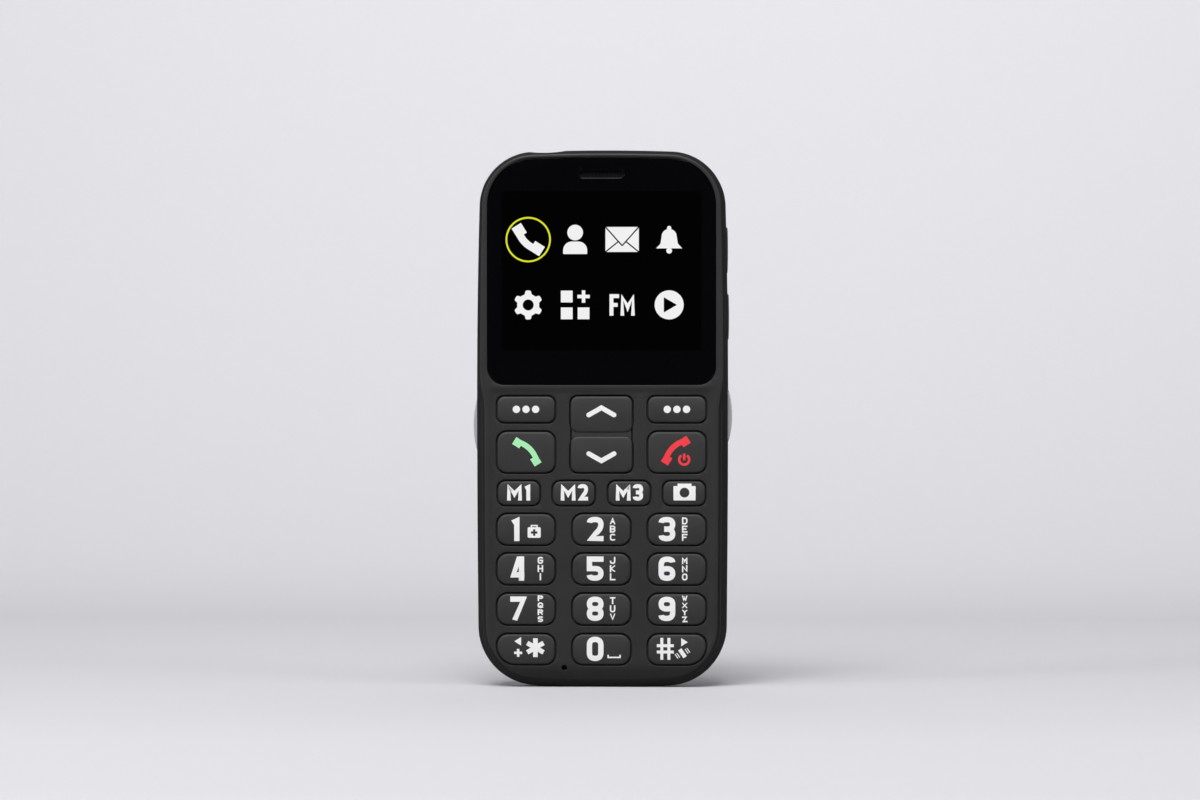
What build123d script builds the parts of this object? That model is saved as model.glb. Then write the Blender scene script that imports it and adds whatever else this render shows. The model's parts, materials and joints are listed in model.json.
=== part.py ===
from build123d import *

import os
from math import radians, sin, sqrt, tan

# Feature phone with large keys, in millimetres.
# It stands on its foot: +Z up, screen towards -Y, +X to the right of someone who looks at the screen.
# The origin is the middle of the foot.

os.makedirs("parts", exist_ok=True)

# Overall size of the phone
body_width = 61.5
body_height = 131.5
body_depth = 14.0

# Front outline: one shallow arc for each side, joined by rounded corners
top_narrowing = 1.0
bottom_narrowing = 0.5
top_crown = 0.9
bottom_crown = 1.6
foot_cut = 0.1
widest_height_share = 0.554
top_corner_radius = 13.5
bottom_corner_radius = 14.5

# Shells
shell_wall = 1.3
face_wall = 1.1
cover_wall = 1.2
cover_side_wall = 1.3
cover_depth = 4.0
front_depth = 4.5
band_wall = 2.1
tongue_depth = 1.0
shell_fit = 0.1
front_roll_radius = 2.0
rear_roll_radius = 3.6
rim_rise = 0.3
rim_width = 2.9
rim_slope = 1.4
lip_width = 0.6
chin_roll_radius = 10.5
chin_roll_top = 7.6
chin_wall = 0.65
field_corner_radius = 3.0

# Display window and what lies behind it
window_side_margin = 2.8
window_height_share = 0.4236
window_top_margin = 1.8
window_crown = 0.8
window_top_radius = 11.5
window_bottom_radius = 4.2
window_thickness = 0.95
window_recess = 0.1
window_fit = 0.1
ledge_thickness = 0.6
screen_side_margin = 3.6
screen_top_margin = 8.45
screen_bottom_margin = 8.55
screen_border = 1.1
glass_side_border = 1.95
glass_top_border = 1.4
glass_bottom_border = 2.5
glass_thickness = 1.2
driver_ledge = 2.0
frame_wall = 0.5
frame_drop = 0.3

# Earpiece
earpiece_length = 11.0
earpiece_height = 1.75
earpiece_drop = 4.2
mesh_pitch = 0.9
mesh_opening = 1.3
mesh_openings = 11
mesh_margin = 0.8
mesh_thickness = 0.3
receiver_length = 12.0
receiver_height = 4.4

# Keypad: the field that holds all apertures, and its rows and columns as shares of that field
keypad_margin = 4.9
chin_height = 5.3
keypad_drop = 2.4
row_shares = {
    "soft": (0.054, 0.107),
    "call": (0.212, 0.162),
    "menu": (0.363, 0.100),
    "first": (0.497, 0.125),
    "second": (0.643, 0.125),
    "third": (0.791, 0.125),
    "fourth": (0.939, 0.122),
}
nav_row_shares = (0.146, 0.292)
nav_width_share = 0.306
nav_bridge_width_share = 0.295
key_width_share = 0.287
menu_width_share = 0.212
outer_column_share = 0.357
menu_outer_share = 0.391
menu_inner_share = 0.131
soft_corner_share = 0.296
call_corner_share = 0.251
menu_corner_share = 0.332
digit_corner_share = 0.35
wide_corner_share = 0.6
nav_corner_share = 0.229

# Keycaps, keymat and domes, from the front to the board
key_proud = 0.4
key_gap = 0.4
key_crown = 0.2
key_edge = 0.3
key_travel = 0.4
key_flange_share = 0.0098
key_flange_thickness = 0.45
key_play = 0.1
seat_play = 0.05
mat_thickness = 0.4
mat_leg = 1.35
mat_rib = 1.2
mat_bar = 0.8
mat_margin = 3.3
nub_radius = 1.2
nub_sides = 8
dome_sheet_thickness = 0.15
dome_height = 0.25
dome_radius = 2.0
dome_slope = 60
tactile_length = 3.4
tactile_width = 0.6
tactile_rise = 0.12
tactile_inset = 0.8

# Navigation rocker
nav_tilt = 2.5
nav_pad_gap = 1.0
nav_bridge_drop = 0.35
nav_flange_thickness = 0.4
nav_nub_share = 0.336
nav_post_radius = 1.0

# Board and what is soldered to it
board_thickness = 0.8
board_margin = 2.6
component_height = 1.4
shield_height = 1.25
shield_side_margin = 2.0
shield_end_margin = 5.0
shield_gap = 4.0
shield_count = 2
shield_edge_radius = 1.0

# Chassis floor, battery and its bay
floor_thickness = 1.0
battery_side_margin = 8.75
battery_bottom = 18.0
battery_top_gap = 5.8
battery_play = 0.15
battery_corner_radius = 2.5
battery_edge = 0.6
bay_wall = 1.0
thumb_width = 16.0
thumb_depth = 2.2
contact_width = 10.0
contact_length = 2.6
contact_height = 4.4
contact_reach = 0.25
contact_blades = 3
contact_blade_width = 1.2

# Screws that hold the two shells together
screw_radius = 0.7
screw_length = 4.6
screw_head_radius = 1.3
screw_head_height = 0.75
screw_recess = 0.85
boss_radius = 1.35
boss_rear_radius = 1.6
boss_sides = 12
top_screw_margin = 10.25
top_screw_drop = 6.8
middle_screw_margin = 4.75
middle_screw_rise = 1.2

# Microphone
mic_x_share = 0.148
mic_z = 4.85
mic_hole_radius = 0.65
mic_boot_radius = 1.0
mic_can = 3.0
mic_can_height = 1.0
mic_notch = 0.6

# Headphone jack in the top edge
jack_side_margin = 16.45
jack_bore_radius = 1.8
jack_bore_length = 14.0
jack_barrel_radius = 2.3
jack_body_width = 6.0
jack_body_depth = 4.8
jack_floor = 1.0
jack_top_gap = 0.3
jack_sink = 0.3
scoop_width = 9.2
scoop_dip = 0.35

# Charging socket in the foot
usb_width = 7.6
usb_height = 2.8
usb_length = 5.6
usb_corner_radius = 0.8
usb_wall = 0.3
usb_tongue_thickness = 0.6
usb_tongue_width = 5.4
usb_inset = 0.9

# Camera, torch lamp and loudspeaker behind the rear cover
camera_drop = 17.0
camera_size = 8.0
camera_barrel_radius = 3.2
camera_barrel_rise = 1.0
camera_window_radius = 5.0
camera_hole_radius = 4.1
camera_window_thickness = 0.8
camera_gap = 0.1
torch_x = 10.0
torch_lens_radius = 1.6
torch_lens_gap = 0.25
torch_lens_edge = 0.4
torch_lamp_size = 3.2
torch_lamp_height = 1.0
torch_skirt = 0.5
speaker_drop = 32.5
speaker_width = 15.0
speaker_height = 11.0
speaker_radius = 2.5
speaker_wall = 0.9
gasket_width = 1.0
gasket_thickness = 1.5
grille_slots = 5
grille_slot_width = 1.0
grille_slot_length = 6.0
grille_pitch = 2.2

# Vibration motor, antenna and card holders
motor_side_margin = 10.25
motor_z = 12.5
motor_radius = 4.0
motor_depth_share = 0.52
antenna_side_margin = 16.75
antenna_height = 4.0
antenna_bottom = 7.6
antenna_carrier = 2.0
antenna_thickness = 0.2
antenna_legs = 6
antenna_leg_width = 1.2
card_holder_width = 16.0
card_holder_height = 14.0
card_holder_gap = 1.7
card_holder_side_margin = 13.75
card_holder_depth = 1.3
card_holder_wall = 0.3
card_slot_depth = 0.8

# Side keys: volume on the right, a silver key on each side
side_key_height = 2.6
side_key_gap = 0.12
side_key_travel = 0.3
side_key_flange = 0.5
side_key_flange_thickness = 0.5
side_key_edge = 0.25
volume_key_length = 11.4
volume_key_proud = 0.35
volume_key_bow = 0.1
silver_key_length = 13.0
silver_key_proud = 1.0
silver_key_bow = 0.9
volume_up_share = 0.8137
volume_down_share = 0.6894
lock_share = 0.5057
torch_share = 0.489
switch_depth = 2.0
switch_length = 4.6
switch_height = 3.2
switch_clearance = 0.4

# Cover lip and the nail notch that opens it
lip_wall = 0.7
lip_depth = 0.7
notch_side_margin = 10.75
notch_width = 8.0
notch_depth = 0.9
notch_height = 1.2

# Display flex
flex_width = 18.0
flex_thickness = 0.12
flex_length = 4.4
connector_width = 12.0
connector_height = 1.2
connector_length = 2.4

# Extra length of every cut past the face that it leaves
overrun = 1.0

# Depth levels, from the key crowns to the rear cover
crown_y = -body_depth / 2
face_y = crown_y + key_proud
rim_y = face_y - rim_rise
inner_face_y = face_y + face_wall
ledge_y = inner_face_y + ledge_thickness
rear_y = body_depth / 2
cover_inner_y = rear_y - cover_wall
band_rear_y = rear_y - cover_depth
band_front_y = rim_y + front_depth
band_depth = band_rear_y - band_front_y
band_y = (band_front_y + band_rear_y) / 2
flange_front_y = inner_face_y + seat_play
flange_rear_y = flange_front_y + key_flange_thickness
mat_front_y = flange_rear_y + key_travel + key_play
mat_rear_y = mat_front_y + mat_thickness
sheet_front_y = mat_rear_y + mat_leg
board_front_y = sheet_front_y + dome_sheet_thickness
board_rear_y = board_front_y + board_thickness
dome_top_y = sheet_front_y - dome_height
nub_end_y = dome_top_y - key_travel - seat_play
floor_front_y = board_rear_y + component_height
floor_rear_y = floor_front_y + floor_thickness
bay_depth = cover_inner_y - floor_rear_y
speaker_thickness = bay_depth - gasket_thickness - 2 * seat_play
motor_thickness = motor_depth_share * bay_depth
jack_y = board_rear_y + jack_body_depth / 2 - jack_sink

# Heights of the main zones
window_width = body_width - 2 * window_side_margin
window_height = window_height_share * body_height
window_top = body_height - window_top_margin
window_bottom = window_top - window_height
field_top = window_bottom - lip_width
keypad_top = window_bottom - keypad_drop
keypad_width = body_width - 2 * keypad_margin
keypad_height = keypad_top - chin_height
key_flange = key_flange_share * keypad_height
widest_z = body_height * widest_height_share
screen_width = window_width - 2 * screen_side_margin
screen_height = window_height - screen_top_margin - screen_bottom_margin
screen_z = window_top - screen_top_margin - screen_height / 2
glass_top = screen_z + screen_height / 2 + glass_top_border
glass_bottom = screen_z - screen_height / 2 - glass_bottom_border
glass_width = screen_width + 2 * glass_side_border
earpiece_z = window_top - earpiece_drop
camera_z = body_height - camera_drop
speaker_z = body_height - speaker_drop
card_holder_top = speaker_z - speaker_height / 2 - card_holder_gap
card_holder_bottom = card_holder_top - card_holder_height
battery_top = card_holder_bottom - battery_top_gap
battery_height = battery_top - battery_bottom
shield_bottom = battery_bottom + shield_end_margin
shield_length = (battery_height - 2 * shield_end_margin - shield_gap) / shield_count
contact_z = battery_top + battery_play + contact_reach
mat_top = field_top - lip_width

# Places and widths that follow the width of the phone
battery_width = body_width - 2 * battery_side_margin
shield_width = battery_width - 2 * shield_side_margin
antenna_width = body_width - 2 * antenna_side_margin
card_holder_x = body_width / 2 - card_holder_side_margin
motor_x = body_width / 2 - motor_side_margin
jack_x = body_width / 2 - jack_side_margin
notch_x = body_width / 2 - notch_side_margin
mic_x = mic_x_share * body_width


def row_gap_z(upper, lower):
    """Height of the middle of the gap between two rows of apertures."""
    upper_edge = row_shares[upper][0] + row_shares[upper][1] / 2
    lower_edge = row_shares[lower][0] - row_shares[lower][1] / 2
    return keypad_top - (upper_edge + lower_edge) / 2 * keypad_height


# Screw places, left and right alike
screw_places = [
    (side * x, z)
    for side in (-1, 1)
    for x, z in (
        (body_width / 2 - top_screw_margin, body_height - top_screw_drop),
        (body_width / 2 - middle_screw_margin, window_bottom + middle_screw_rise),
        (outer_column_share * keypad_width / 2, row_gap_z("third", "fourth")),
    )
]


def level(y):
    """Plane across the phone at depth y, seen from the front: local x is X, local y is Z."""
    return Plane.XZ.offset(-y)


def opposite(point):
    """The same point on the other side of the middle plane."""
    return (-point[0], point[1])


def side_x(z):
    """Half width of the phone at height z, on the shallow arc of its side."""
    if z > widest_z:
        rise = body_height - top_crown - widest_z
        narrowing = top_narrowing
    else:
        rise = widest_z - bottom_crown + foot_cut
        narrowing = bottom_narrowing
    arc_radius = (rise**2 + narrowing**2) / (2 * narrowing)
    return body_width / 2 - arc_radius + sqrt(arc_radius**2 - (z - widest_z) ** 2)


def top_z(x):
    """Height of the top edge at distance x from the middle."""
    reach = body_width / 2 - top_narrowing
    arc_radius = (reach**2 + top_crown**2) / (2 * top_crown)
    return body_height - arc_radius + sqrt(arc_radius**2 - x**2)


def body_outline(inset):
    """Front outline of the phone, drawn the given distance inside its silhouette."""
    top = (0, body_height - inset)
    top_corner = (body_width / 2 - top_narrowing - inset, body_height - top_crown - inset)
    widest = (body_width / 2 - inset, widest_z)
    bottom_corner = (
        body_width / 2 - bottom_narrowing - inset,
        bottom_crown - foot_cut + inset,
    )
    bottom = (0, inset - foot_cut)
    with BuildSketch() as outline:
        with BuildLine():
            TangentArc(widest, top_corner, tangent=(0, 1))
            TangentArc(widest, bottom_corner, tangent=(0, -1))
            mirror(about=Plane.YZ)
            ThreePointArc(opposite(top_corner), top, top_corner)
            ThreePointArc(opposite(bottom_corner), bottom, bottom_corner)
        make_face()
        fillet(outline.vertices().group_by(Axis.Y)[-1], top_corner_radius - inset)
        fillet(outline.vertices().group_by(Axis.Y)[0], bottom_corner_radius - inset)
    return outline.sketch


def field_outline(inset, drop):
    """Sunken key field: inset from the sides and the foot, its straight top lowered by drop."""
    top_corner = (body_width / 2 - inset, field_top - drop)
    bottom_corner = (
        body_width / 2 - bottom_narrowing - inset,
        bottom_crown - foot_cut + inset,
    )
    bottom = (0, inset - foot_cut)
    with BuildSketch() as outline:
        with BuildLine():
            TangentArc(top_corner, bottom_corner, tangent=(0, -1))
            mirror(about=Plane.YZ)
            Line(opposite(top_corner), top_corner)
            ThreePointArc(opposite(bottom_corner), bottom, bottom_corner)
        make_face()
        fillet(outline.vertices().group_by(Axis.Y)[-1], field_corner_radius)
        fillet(outline.vertices().group_by(Axis.Y)[0], bottom_corner_radius - inset)
    return outline.sketch


def window_outline(grow):
    """Outline of the display window, grown by the given distance."""
    top = (0, window_top + grow)
    shoulder = (window_width / 2 + grow, window_top - window_crown + grow)
    foot = (window_width / 2 + grow, window_bottom - grow)
    with BuildSketch() as outline:
        with BuildLine():
            Line(shoulder, foot)
            mirror(about=Plane.YZ)
            ThreePointArc(opposite(shoulder), top, shoulder)
            Line(opposite(foot), foot)
        make_face()
        fillet(outline.vertices().group_by(Axis.Y)[-1], window_top_radius + grow)
        fillet(outline.vertices().group_by(Axis.Y)[0], window_bottom_radius + grow)
    return outline.sketch


def cut(corners, radius):
    """Cut corners off straight, just outside the arc of the given radius."""
    chamfer(corners, (2 - sqrt(2)) * radius)


# Keys of the keypad: name, column, row, width, share of the corners' radius, and the wider corner
keys = [
    ("soft_key_left", -outer_column_share, "soft", key_width_share, soft_corner_share, None),
    ("soft_key_right", outer_column_share, "soft", key_width_share, soft_corner_share, None),
    ("call_key", -outer_column_share, "call", key_width_share, call_corner_share, None),
    ("end_key", outer_column_share, "call", key_width_share, call_corner_share, None),
    ("key_m1", -menu_outer_share, "menu", menu_width_share, menu_corner_share, None),
    ("key_m2", -menu_inner_share, "menu", menu_width_share, menu_corner_share, None),
    ("key_m3", menu_inner_share, "menu", menu_width_share, menu_corner_share, None),
    ("camera_key", menu_outer_share, "menu", menu_width_share, menu_corner_share, None),
]
digit_rows = {
    "first": ("key_1", "key_2", "key_3"),
    "second": ("key_4", "key_5", "key_6"),
    "third": ("key_7", "key_8", "key_9"),
    "fourth": ("key_star", "key_0", "key_hash"),
}
wide_corners = {"key_star": -1, "key_hash": 1}
for row, names in digit_rows.items():
    for name, column in zip(names, (-outer_column_share, 0, outer_column_share)):
        corner = wide_corners.get(name)
        keys.append((name, column, row, key_width_share, digit_corner_share, corner))


def key_place(key):
    """Middle of a key, as (x, z)."""
    column, row = key[1], key[2]
    return (column * keypad_width, keypad_top - row_shares[row][0] * keypad_height)


def key_outline(key, grow, soften=fillet):
    """Aperture of a key, grown by the given distance, its corners rounded or cut."""
    row, width_share, corner_share, corner = key[2:]
    aperture_height = row_shares[row][1] * keypad_height
    radius = corner_share * aperture_height + grow
    with BuildSketch() as outline:
        with Locations(key_place(key)):
            Rectangle(width_share * keypad_width + 2 * grow, aperture_height + 2 * grow)
        if corner:
            end = 0 if corner < 0 else -1
            soften(
                outline.vertices().group_by(Axis.Y)[0].sort_by(Axis.X)[end],
                wide_corner_share * aperture_height + grow,
            )
            soften(outline.vertices().group_by(Axis.Y)[0].sort_by(Axis.X)[-1 - end], radius)
            soften(outline.vertices().group_by(Axis.Y)[-1], radius)
        else:
            soften(outline.vertices(), radius)
    return outline.sketch


# Pairs of rows that have a rib of the keymat between them
rib_rows = (
    ("call", "menu"),
    ("menu", "first"),
    ("first", "second"),
    ("second", "third"),
    ("third", "fourth"),
)


# Navigation rocker: two pads, one above the other, on a narrower bridge
nav_z = keypad_top - nav_row_shares[0] * keypad_height
nav_width = nav_width_share * keypad_width
nav_height = nav_row_shares[1] * keypad_height
nav_bridge_width = nav_bridge_width_share * keypad_width
nav_pad_height = (nav_height - nav_pad_gap) / 2
nav_pad_reach = (nav_pad_height + nav_pad_gap) / 2
nav_nub_reach = nav_nub_share * nav_height


def nav_pads(grow, soften=fillet):
    """The two pads of the rocker, grown by the given distance, their corners rounded or cut."""
    with BuildSketch() as outline:
        with Locations((0, nav_z + nav_pad_reach), (0, nav_z - nav_pad_reach)):
            Rectangle(nav_width + 2 * grow, nav_pad_height + 2 * grow)
        soften(outline.vertices(), nav_corner_share * nav_pad_height + grow)
    return outline.sketch


def nav_outline(grow, soften=fillet):
    """Aperture of the rocker: both pads and the bridge between them, grown by the given distance."""
    with BuildSketch() as outline:
        add(nav_pads(grow, soften))
        with Locations((0, nav_z)):
            Rectangle(nav_bridge_width + 2 * grow, nav_height / 2)
    return outline.sketch


# Side keys: name, side, middle height, length, how far they stand proud, bow of the outer face
volume_key_form = (volume_key_length, volume_key_proud, volume_key_bow)
silver_key_form = (silver_key_length, silver_key_proud, silver_key_bow)
side_keys = [
    ("volume_up_key", 1, volume_up_share * body_height, *volume_key_form),
    ("volume_down_key", 1, volume_down_share * body_height, *volume_key_form),
    ("lock_key", 1, lock_share * body_height, *silver_key_form),
    ("torch_key", -1, torch_share * body_height, *silver_key_form),
]


def side_flange_x(z, length):
    """Distance from the middle plane to the outer face of a side key's flange."""
    ends = (z - length / 2 - side_key_flange, z + length / 2 + side_key_flange)
    return min(side_x(end) for end in ends) - band_wall - seat_play


def switch_x(z, length):
    """Distance from the middle plane to the outer face of the switch behind a side key."""
    return side_flange_x(z, length) - side_key_flange_thickness - side_key_travel - seat_play


# Heights of the headphone jack, from the scoop in the top edge down to its closed end
jack_mouth_z = top_z(jack_x) - scoop_dip
jack_body_top = top_z(jack_x + jack_body_width / 2) - band_wall - jack_top_gap
jack_body_bottom = jack_mouth_z - jack_bore_length - jack_floor


def scoop():
    """Profile of the shallow scoop around the headphone jack, seen from the front."""
    scoop_radius = (scoop_width**2 / 4 + scoop_dip**2) / (2 * scoop_dip)
    with BuildSketch() as outline:
        with Locations((-jack_x, jack_mouth_z + scoop_radius)):
            Circle(scoop_radius)
    return outline.sketch


def write(piece, name):
    """Label a finished piece and write it under its own name."""
    piece.part.label = name
    export_step(piece.part, f"parts/{name}.step")


# Space inside the front housing: deeper behind the keys than behind the window, and rolled at the chin
chin_axis_y = rim_y + chin_roll_radius
with BuildPart() as front_space:
    with BuildSketch(level(band_front_y)):
        add(body_outline(shell_wall))
    extrude(amount=band_front_y - ledge_y)
    with BuildSketch(level(ledge_y)):
        add(body_outline(shell_wall))
        with Locations((0, mat_top + shell_fit)):
            Rectangle(
                body_width, body_height, align=(Align.CENTER, Align.MAX), mode=Mode.INTERSECT
            )
    extrude(amount=ledge_y - inner_face_y)
    with BuildSketch(Plane.YZ):
        with Locations((chin_axis_y, chin_roll_top)):
            Circle(chin_roll_radius - chin_wall)
            Rectangle(2 * body_depth, body_height, align=(Align.CENTER, Align.MIN))
    extrude(amount=body_width, both=True, mode=Mode.INTERSECT)

# Front housing: rolled edge, raised rim, sunken key field, window pocket and key apertures
with BuildPart() as front_housing:
    with BuildSketch(level(band_front_y)):
        add(body_outline(0))
    extrude(amount=band_front_y - rim_y)
    fillet(front_housing.faces().sort_by(Axis.Y)[0].edges(), front_roll_radius)
    # Sunken key field with a sloping edge
    with BuildSketch(level(rim_y)):
        add(field_outline(rim_width, 0))
    with BuildSketch(level(face_y)):
        add(field_outline(rim_width + rim_slope, rim_slope))
    loft(ruled=True, mode=Mode.SUBTRACT)
    # Chin that rolls back to the foot
    with BuildSketch(Plane.YZ):
        with BuildLine():
            roll_foot_y = chin_axis_y - sqrt(chin_roll_radius**2 - chin_roll_top**2)
            TangentArc((rim_y, chin_roll_top), (roll_foot_y, 0), tangent=(0, -1))
            Polyline(
                (roll_foot_y, 0),
                (roll_foot_y, -overrun),
                (rim_y - overrun, -overrun),
                (rim_y - overrun, chin_roll_top),
                (rim_y, chin_roll_top),
            )
        make_face()
    extrude(amount=body_width, both=True, mode=Mode.SUBTRACT)
    add(front_space.part, mode=Mode.SUBTRACT)
    # Window pocket, opening for the screen and slot for the earpiece
    with BuildSketch(level(inner_face_y)):
        add(window_outline(window_fit))
    extrude(amount=inner_face_y - rim_y + overrun, mode=Mode.SUBTRACT)
    with BuildSketch(level(ledge_y)):
        with Locations((0, screen_z)):
            Rectangle(screen_width + 2 * screen_border, screen_height + 2 * screen_border)
        with Locations((0, earpiece_z)):
            SlotOverall(earpiece_length, earpiece_height)
    extrude(amount=ledge_thickness, mode=Mode.SUBTRACT)
    # Recess for the earpiece mesh
    with BuildSketch(level(inner_face_y + mesh_thickness)):
        with Locations((0, earpiece_z)):
            SlotOverall(
                earpiece_length + 2 * (mesh_margin + window_fit),
                earpiece_height + 2 * (mesh_margin + window_fit),
            )
    extrude(amount=mesh_thickness, mode=Mode.SUBTRACT)
    # Bosses for the screws
    with BuildSketch(level(board_front_y - seat_play)):
        with Locations(*screw_places):
            RegularPolygon(boss_radius, boss_sides)
    extrude(amount=board_front_y - seat_play - inner_face_y)
    with BuildSketch(level(board_front_y)):
        with Locations(*screw_places):
            RegularPolygon(screw_radius + 2 * seat_play, boss_sides)
    extrude(amount=board_front_y - inner_face_y - seat_play, mode=Mode.SUBTRACT)
    # Key apertures and microphone hole
    with BuildSketch(level(inner_face_y)):
        for key in keys:
            add(key_outline(key, 0))
        add(nav_outline(0))
        with Locations((-mic_x, mic_z)):
            Circle(mic_hole_radius)
    extrude(amount=face_wall + rim_rise + overrun, mode=Mode.SUBTRACT)
    # Scoop around the headphone jack, and the flat of the foot
    with BuildSketch(level(band_front_y)):
        add(scoop())
    extrude(amount=band_front_y - rim_y, mode=Mode.SUBTRACT)
    split(bisect_by=Plane.XY, keep=Keep.TOP)
write(front_housing, "front_housing")

# Display window with the earpiece slot
window_rear_y = face_y + window_recess + window_thickness
with BuildPart() as display_window:
    with BuildSketch(level(window_rear_y)):
        add(window_outline(0))
        with Locations((0, earpiece_z)):
            SlotOverall(earpiece_length, earpiece_height, mode=Mode.SUBTRACT)
    extrude(amount=window_thickness)
write(display_window, "display_window")

# Earpiece mesh: a plate with rows of narrow openings, seated behind the window
with BuildPart() as earpiece_mesh:
    with BuildSketch(level(inner_face_y + mesh_thickness)):
        with Locations((0, earpiece_z)):
            SlotOverall(earpiece_length + 2 * mesh_margin, earpiece_height + 2 * mesh_margin)
            with GridLocations(mesh_pitch, mesh_opening, mesh_openings, 1):
                Rectangle(mesh_pitch / 2, mesh_opening, mode=Mode.SUBTRACT)
    extrude(amount=mesh_thickness)
write(earpiece_mesh, "earpiece_mesh")

# Earpiece receiver, between the window ledge and the board
with BuildPart() as earpiece_receiver:
    with BuildSketch(level(board_front_y)):
        with Locations((0, earpiece_z)):
            RectangleRounded(receiver_length, receiver_height, mesh_margin)
    extrude(amount=board_front_y - ledge_y - seat_play)
    with BuildSketch(level(ledge_y + seat_play)):
        with Locations((0, earpiece_z)):
            SlotOverall(earpiece_length - 2 * mesh_margin, earpiece_height)
    extrude(amount=-mesh_thickness, mode=Mode.SUBTRACT)
write(earpiece_receiver, "earpiece_receiver")

# Display: two glass plates, the front one shorter, in a frame that holds the backlight
glass_front_y = ledge_y + seat_play
glass_rear_y = glass_front_y + glass_thickness
glass_height = glass_top - glass_bottom
with BuildPart() as display_glass:
    with BuildSketch(level(glass_rear_y)):
        with Locations((0, glass_bottom)):
            Rectangle(glass_width, glass_height, align=(Align.CENTER, Align.MIN))
    extrude(amount=glass_thickness / 2)
    with BuildSketch(level(glass_rear_y - glass_thickness / 2)):
        with Locations((0, glass_bottom + driver_ledge)):
            Rectangle(
                glass_width, glass_height - driver_ledge, align=(Align.CENTER, Align.MIN)
            )
    extrude(amount=glass_thickness / 2)
write(display_glass, "display_glass")

with BuildPart() as display_frame:
    with BuildSketch(level(board_front_y - seat_play)):
        with Locations((0, glass_bottom + glass_height / 2)):
            RectangleRounded(
                glass_width + 2 * frame_wall, glass_height + 2 * frame_wall, frame_wall
            )
    extrude(amount=board_front_y - seat_play - glass_front_y - frame_drop)
    with BuildSketch(level(glass_rear_y + seat_play)):
        with Locations((0, glass_bottom + glass_height / 2)):
            Rectangle(glass_width + 2 * seat_play, glass_height + 2 * seat_play)
    extrude(amount=glass_thickness + overrun, mode=Mode.SUBTRACT)
write(display_frame, "display_frame")

# Display flex: a strip on the board below the display, with its plug
flex_top = glass_bottom - frame_wall - seat_play
with BuildPart() as display_flex:
    with BuildSketch(level(board_front_y)):
        with Locations((0, flex_top)):
            Rectangle(flex_width, flex_length, align=(Align.CENTER, Align.MAX))
    extrude(amount=flex_thickness)
    with BuildSketch(level(board_front_y)):
        with Locations((0, flex_top - flex_length / 2)):
            Rectangle(connector_width, connector_length)
    extrude(amount=connector_height)
write(display_flex, "display_flex")

# Dome sheet: one dome under each key, two under the rocker
key_places = [key_place(key) for key in keys]
dome_places = key_places + [(0, nav_z + nav_nub_reach), (0, nav_z - nav_nub_reach)]
mic_place = (-mic_x, mic_z)
with BuildPart() as dome_sheet:
    with BuildSketch(level(board_front_y)):
        add(body_outline(mat_margin))
        with Locations((0, mat_top)):
            Rectangle(
                body_width, body_height, align=(Align.CENTER, Align.MAX), mode=Mode.INTERSECT
            )
        with Locations(*screw_places):
            RegularPolygon(boss_radius + key_play, boss_sides, mode=Mode.SUBTRACT)
        with Locations(mic_place):
            Rectangle(mic_can + 2 * mic_notch, mic_can + 2 * mic_notch, mode=Mode.SUBTRACT)
    extrude(amount=dome_sheet_thickness)
    with BuildSketch(level(sheet_front_y)):
        with Locations(*dome_places):
            RegularPolygon(dome_radius, nub_sides)
    extrude(amount=dome_height, taper=dome_slope)
write(dome_sheet, "dome_sheet")

# Keymat: a web with a hole for each key's nub, on ribs that stand on the dome sheet
with BuildPart() as keymat:
    with BuildSketch(level(sheet_front_y)):
        add(body_outline(mat_margin))
        with Locations((0, mat_top)):
            Rectangle(
                body_width, body_height, align=(Align.CENTER, Align.MAX), mode=Mode.INTERSECT
            )
    extrude(amount=sheet_front_y - mat_front_y)
    # Space between the ribs
    with BuildSketch(level(sheet_front_y)):
        add(body_outline(mat_margin + mat_rib))
        with Locations((0, mat_top - mat_rib)):
            Rectangle(
                body_width, body_height, align=(Align.CENTER, Align.MAX), mode=Mode.INTERSECT
            )
        for upper, lower in rib_rows:
            with Locations((0, row_gap_z(upper, lower))):
                Rectangle(body_width, mat_bar, mode=Mode.SUBTRACT)
    extrude(amount=mat_leg, mode=Mode.SUBTRACT)
    # Holes for the nubs, the rocker, the screw bosses and the microphone
    with BuildSketch(level(sheet_front_y)):
        with Locations(*key_places):
            RegularPolygon(nub_radius + key_play, nub_sides)
        add(nav_outline(key_gap, cut))
        with Locations(*screw_places):
            RegularPolygon(boss_radius + key_play, boss_sides)
        with Locations(mic_place):
            Rectangle(mic_can + 2 * mic_notch, mic_can + 2 * mic_notch)
    extrude(amount=mat_leg + mat_thickness + overrun, mode=Mode.SUBTRACT)
write(keymat, "keymat")

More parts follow.
